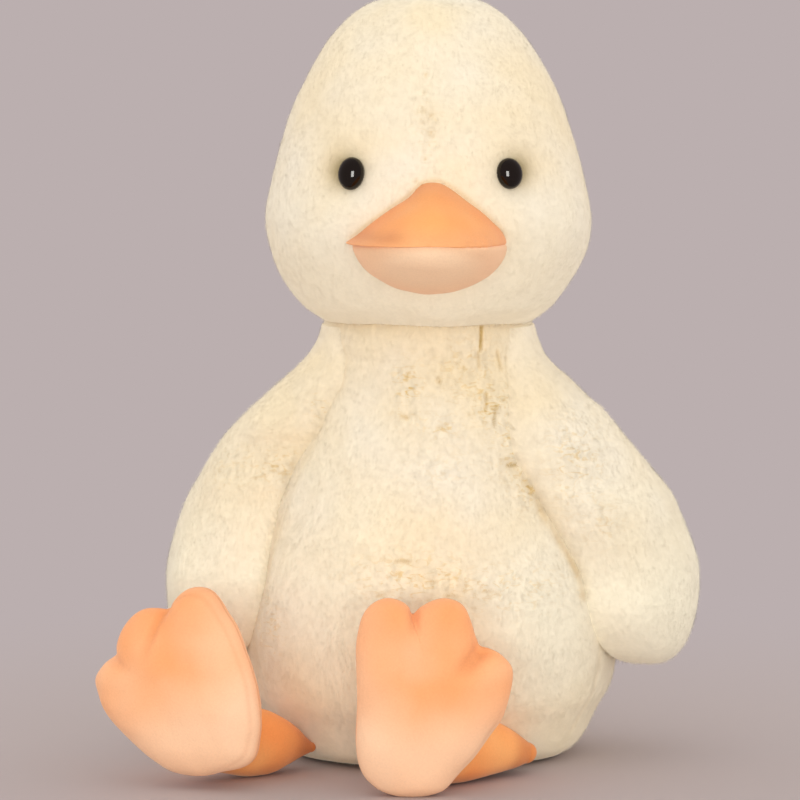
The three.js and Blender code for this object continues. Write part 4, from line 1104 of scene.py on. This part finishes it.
def sole_creases(side, plane, creases):
    """How deep the creases are at each point. They fade out towards their second ends."""
    depth = np.zeros(plane.shape[:-1])
    for start, end, width, deep in creases:
        line = spline(np.array([start, end]) * [side * FOOT_WIDTH, FOOT_LENGTH], 8)
        run = line[-1] - line[0]
        along = np.clip((plane - line[0]) @ run / (run @ run), 0, 1)
        depth = depth + deep * bump(distance_to(plane, line), width) * (1 - smooth(along, *CREASE_FADE))
    return depth


def build_foot(name, side, stance, shares, creases, seed):
    """A pillow: its outline shrinks towards the middle of the sole and of the back, as the square
    root of a sine. Creases run in from the notches between the toes."""
    ankle = hinge_of(f"foot_{name}_flex")
    outline, across, up, facing, middle = foot_frame(side, ankle, *stance, shares)
    steps = np.linspace(0, np.pi, 90)[:, None]
    size = np.sin(steps) ** 0.5
    plane = size[..., None] * outline
    depth = -FOOT_THICKNESS / 2 * np.cos(steps) * np.ones(len(outline))
    sole = smooth(depth, *SOLE_FADE)
    crease = sole_creases(side, plane, creases)
    rim = bump(size - RIM, RIM_WIDTH) * sole * smooth(plane[..., 0], *RIM_ACROSS_FADE)
    if name == "left":
        rim = rim * smooth(-plane[..., 1], *RIM_HEEL_FADE)
    grid = middle + (plane[..., :1] * across + plane[..., 1:] * up + depth[..., None] * facing)
    puff = uneven(grid, (24, 0.45, seed), (9, 0.10, seed + 1))
    grid = pushed(grid, (puff - crease * sole - RIM_DEPTH * rim) * smooth(grid[..., 2], *FOOT_LOW_FADE))
    grid[..., 2] = np.maximum(grid[..., 2], FOOT_HEIGHT)
    seam = bump(depth, FOOT_SEAM_REACH)
    high = plane[..., 1] / FOOT_LENGTH
    inner = -side * plane[..., 0] / FOOT_WIDTH
    # Painted shade in the creases, along the seams, in the rim's line and towards the top; painted light on
    # the lower part of the sole side and on the inner side
    marks = {
        "warm_shade": np.clip(0.2 * crease * sole + 0.35 * seam + 0.1 * smooth(high, 0.2, 0.5) + 0.12 * rim, 0, 1),
        "pale": np.clip(0.9 * smooth(-high, -0.1, 0.3) * sole + 0.35 * smooth(inner, 0.2, 0.5), 0, 1),
    }
    nodes = [f"foot_{name}_{piece}" for piece in ("sole_panel", "top_panel", "filling")]
    stuffed(f"foot_{name}", grid, foot_suede, marks, f"foot_{name}", nodes)


def build_leg(name, path, radii, seed):
    """A leg that narrows to the pinched seam where it is sewn into the torso."""
    ankle = hinge_of(f"foot_{name}_flex")
    grid = leg_grid(np.vstack([path, ankle + [0, 0, max(radii) - radii[-1]]]), radii)
    low = 1 - smooth(grid[..., 2], *LEG_LOW_FADE)
    grid = pushed(grid, uneven(grid, (14, 0.3, seed)))
    grid[..., 2] = np.maximum(grid[..., 2], LEG_HEIGHT)
    # Painted shade by the floor and by the hip
    hip = 1 - smooth(np.linalg.norm(grid - path[1], axis=-1), *HIP_FADE)
    marks = {"warm_shade": np.clip(0.45 * low + 0.75 * hip, 0, 1)}
    nodes = [f"leg_{name}_cover", f"leg_{name}_filling"]
    stuffed(f"leg_{name}", grid, leg_suede, marks, f"leg_{name}", nodes)


build_leg("left", LEFT_LEG, LEFT_LEG_RADII, 91)
build_leg("right", RIGHT_LEG, RIGHT_LEG_RADII, 92)
build_foot("left", 1, LEFT_STANCE, LEFT_FOOT_SHARES, LEFT_CREASES, 93)
build_foot("right", -1, RIGHT_STANCE, RIGHT_FOOT_SHARES, RIGHT_CREASES, 95)

# Inner pieces, which the covers hide

# Puckers along the pouch's seam: how many, how deep as a share, and how far up and down
PUCKERS, PUCKER_SHARE, PUCKER_REACH = 40, 0.012, 5
POUCH_SEAM_SHARE, POUCH_SEAM_REACH, POUCH_INSET = 0.03, 1.2, 0.5


def build_pouch():
    """Two round pieces of cotton sewn together and filled: a flattened ball whose radius is the
    square root of a sine, with shallow puckers along the seam at half its height."""
    low, high = span("pellet_pouch")
    middle, half = (low + high) / 2, (high - low) / 2
    along = np.linspace(0, np.pi, 60)[:, None]
    turn = ring_angles(160)
    height = -np.cos(along) * half[2]
    pucker = 1 + PUCKER_SHARE * np.cos(PUCKERS * turn) * bump(height, PUCKER_REACH)
    size = np.sin(along) ** 0.5 * pucker * (1 - POUCH_SEAM_SHARE * bump(height, POUCH_SEAM_REACH))
    x, y = size * half[0] * np.cos(turn), size * half[1] * np.sin(turn)
    grid = middle + np.stack([x, y, np.broadcast_to(height, x.shape)], axis=-1)
    grid = pushed(grid, uneven(grid, (16, 0.4, 97)) - POUCH_INSET)
    stuffed("pellet_pouch_cloth", grid, pouch_cotton, None, "torso", ["pellet_pouch"])


# Matt, with the low relief of a plain weave
pouch_cotton = simple_material("plain_woven_cotton", "#e9e4d8", 0.9, 0.6, 0.15)
# Smooth and milky, with a dull shine
nylon = simple_material("moulded_nylon", "#e6e6e2", 0.45, 0.3, 0.02)
# A heap of milky grains, whose relief is as coarse as they are
polypropylene = simple_material("moulded_polypropylene_pellets", "#dfe3e6", 0.5, 3.0, 1.0)
# Twisted yarn, nearly matt under its wax
thread = simple_material("waxed_polyester_thread", "#e9d9b8", 0.7, 0.4, 0.1)
build_pouch()
for node, material in (
    ("pellets", polypropylene),
    ("neck_thread", thread),
    ("eye_washer_left", nylon),
    ("eye_washer_right", nylon),
):
    made = frame["nodes"][node]
    if not made.material_slots:
        made.data.materials.append(material)
    for holder in made.material_slots:
        holder.material = material

# Studio, in metres but for the floor's corners, which are in millimetres

BACKGROUND = "#bbafaf"
FLOOR_REACH = 6000.0
FLOOR_FADE = 0.12, 0.42
LAMP_TARGET = Vector((0, 0, 0.13))
# Lamps that light the coat: place, width and height, power and tint
SOFTBOXES = [
    ("key_softbox", (-1.1, -1.7, 1.2), 2.0, 2.0, 1.3, "#fffaf2"),
    ("rim_left_softbox", (1.7, 1.1, 0.55), 1.4, 1.4, 7.0, "#fffaf0"),
    ("rim_right_softbox", (-1.7, 1.1, 0.55), 1.4, 1.4, 7.0, "#fffaf0"),
    ("fill_softbox", (1.5, -1.6, 0.25), 1.6, 1.0, 2.6, "#fff9ee"),
    ("low_softbox", (0.0, -2.0, 0.05), 2.6, 0.6, 29.0, "#fffcf4"),
]


def plain_rays(tree):
    """1 for what the camera sees, straight or in gloss or through something clear, and otherwise 0."""
    ray = add_node(tree, "ShaderNodeLightPath").outputs
    seen = ray["Is Camera Ray"]
    for kind in ("Is Glossy Ray", "Is Transmission Ray"):
        seen = add_node(tree, "ShaderNodeMath", {0: seen, 1: ray[kind]}, operation="MAXIMUM").outputs[0]
    return seen


def studio_floor():
    """A wide pale board. Near the duck it takes light and shadow, and further out the camera sees
    its plain colour, so that it runs into the background without a line."""
    material, tree, place = new_material("matt_painted_board")
    away = add_node(tree, "ShaderNodeVectorMath", {0: place}, operation="LENGTH")
    fade = {0: away.outputs["Value"], 1: FLOOR_FADE[0], 2: FLOOR_FADE[1]}
    far = add_node(tree, "ShaderNodeMapRange", fade, interpolation_type="SMOOTHSTEP")
    seen = add_node(tree, "ShaderNodeMath", {0: far.outputs[0], 1: plain_rays(tree)}, operation="MULTIPLY")
    board = add_node(tree, "ShaderNodeBsdfDiffuse", {"Color": colour(BACKGROUND)})
    plain = add_node(tree, "ShaderNodeEmission", {"Color": colour(BACKGROUND), "Strength": 1.0})
    mixed = {0: seen.outputs[0], 1: board.outputs[0], 2: plain.outputs[0]}
    shader = add_node(tree, "ShaderNodeMixShader", mixed)
    add_node(tree, "ShaderNodeOutputMaterial", {"Surface": shader.outputs[0]})
    corners = np.array([[-1, -1, 0], [1, -1, 0], [1, 1, 0], [-1, 1, 0]]) * FLOOR_REACH
    mesh_piece("floor", corners, [np.array([[0, 1, 2, 3]])], material, False)


def studio_world():
    """Even light from all round. The camera sees the background's colour instead."""
    world = bpy.data.worlds.new("studio")
    bpy.context.scene.world = world
    world.use_nodes = True
    tree = world.node_tree
    tree.nodes.clear()
    light = add_node(tree, "ShaderNodeBackground", {"Color": (1.0, 0.985, 0.96, 1.0), "Strength": 0.885})
    plain = add_node(tree, "ShaderNodeBackground", {"Color": colour(BACKGROUND), "Strength": 1.0})
    mixed = {0: plain_rays(tree), 1: light.outputs[0], 2: plain.outputs[0]}
    shader = add_node(tree, "ShaderNodeMixShader", mixed)
    add_node(tree, "ShaderNodeOutputWorld", {"Surface": shader.outputs[0]})


def softbox(name, place, width, height, power, tint):
    """An area lamp that faces the middle of the duck."""
    data = bpy.data.lights.new(name, "AREA")
    data.shape = "RECTANGLE"
    data.size, data.size_y, data.energy, data.color = width, height, power, colour(tint)[:3]
    lamp = bpy.data.objects.new(name, data)
    lamp.location = place
    lamp.rotation_euler = (LAMP_TARGET - Vector(place)).to_track_quat("-Z", "Y").to_euler()
    bpy.context.scene.collection.objects.link(lamp)
    return lamp


studio_floor()
studio_world()
# The soft lamps light the coat only, so that the eyes show one catchlight and no square lamps.
# The glint lamp is the other way round: the eyes reflect it, and it lights nothing else.
for settings in SOFTBOXES:
    softbox(*settings).visible_glossy = False
glint = softbox("front_glint", (-0.07, -2.1, 0.5), 0.75, 1.2, 62.0, "#fffdf8")
glint.visible_diffuse = False

# Camera: level with the duck's chest and 1.5 m away, tilted down by 5 degrees. The photograph's
# frame is cut so that the duck's middle is a little right of its centre.

CAMERA_DISTANCE = 1.5
CAMERA_TILT = math.radians(5)
CAMERA_TARGET = Vector((0, 0, 0.1285))
CAMERA_RANGE = 0.05, 50.0
FRAME_WIDTH = 0.29
FRAME_OFFSET = 0.0102
SENSOR = 36.0

camera_data = bpy.data.cameras.new("camera")
camera_data.sensor_width = SENSOR
camera_data.lens = SENSOR * CAMERA_DISTANCE / FRAME_WIDTH
camera_data.shift_x = -FRAME_OFFSET / FRAME_WIDTH
camera_data.clip_start, camera_data.clip_end = CAMERA_RANGE
camera = bpy.data.objects.new("camera", camera_data)
back = Vector((0, -math.cos(CAMERA_TILT), math.sin(CAMERA_TILT)))
camera.location = CAMERA_TARGET + back * CAMERA_DISTANCE
camera.rotation_euler = (-back).to_track_quat("-Z", "Y").to_euler()
bpy.context.scene.collection.objects.link(camera)
bpy.context.scene.camera = camera
bpy.context.scene.view_settings.view_transform = "Standard"
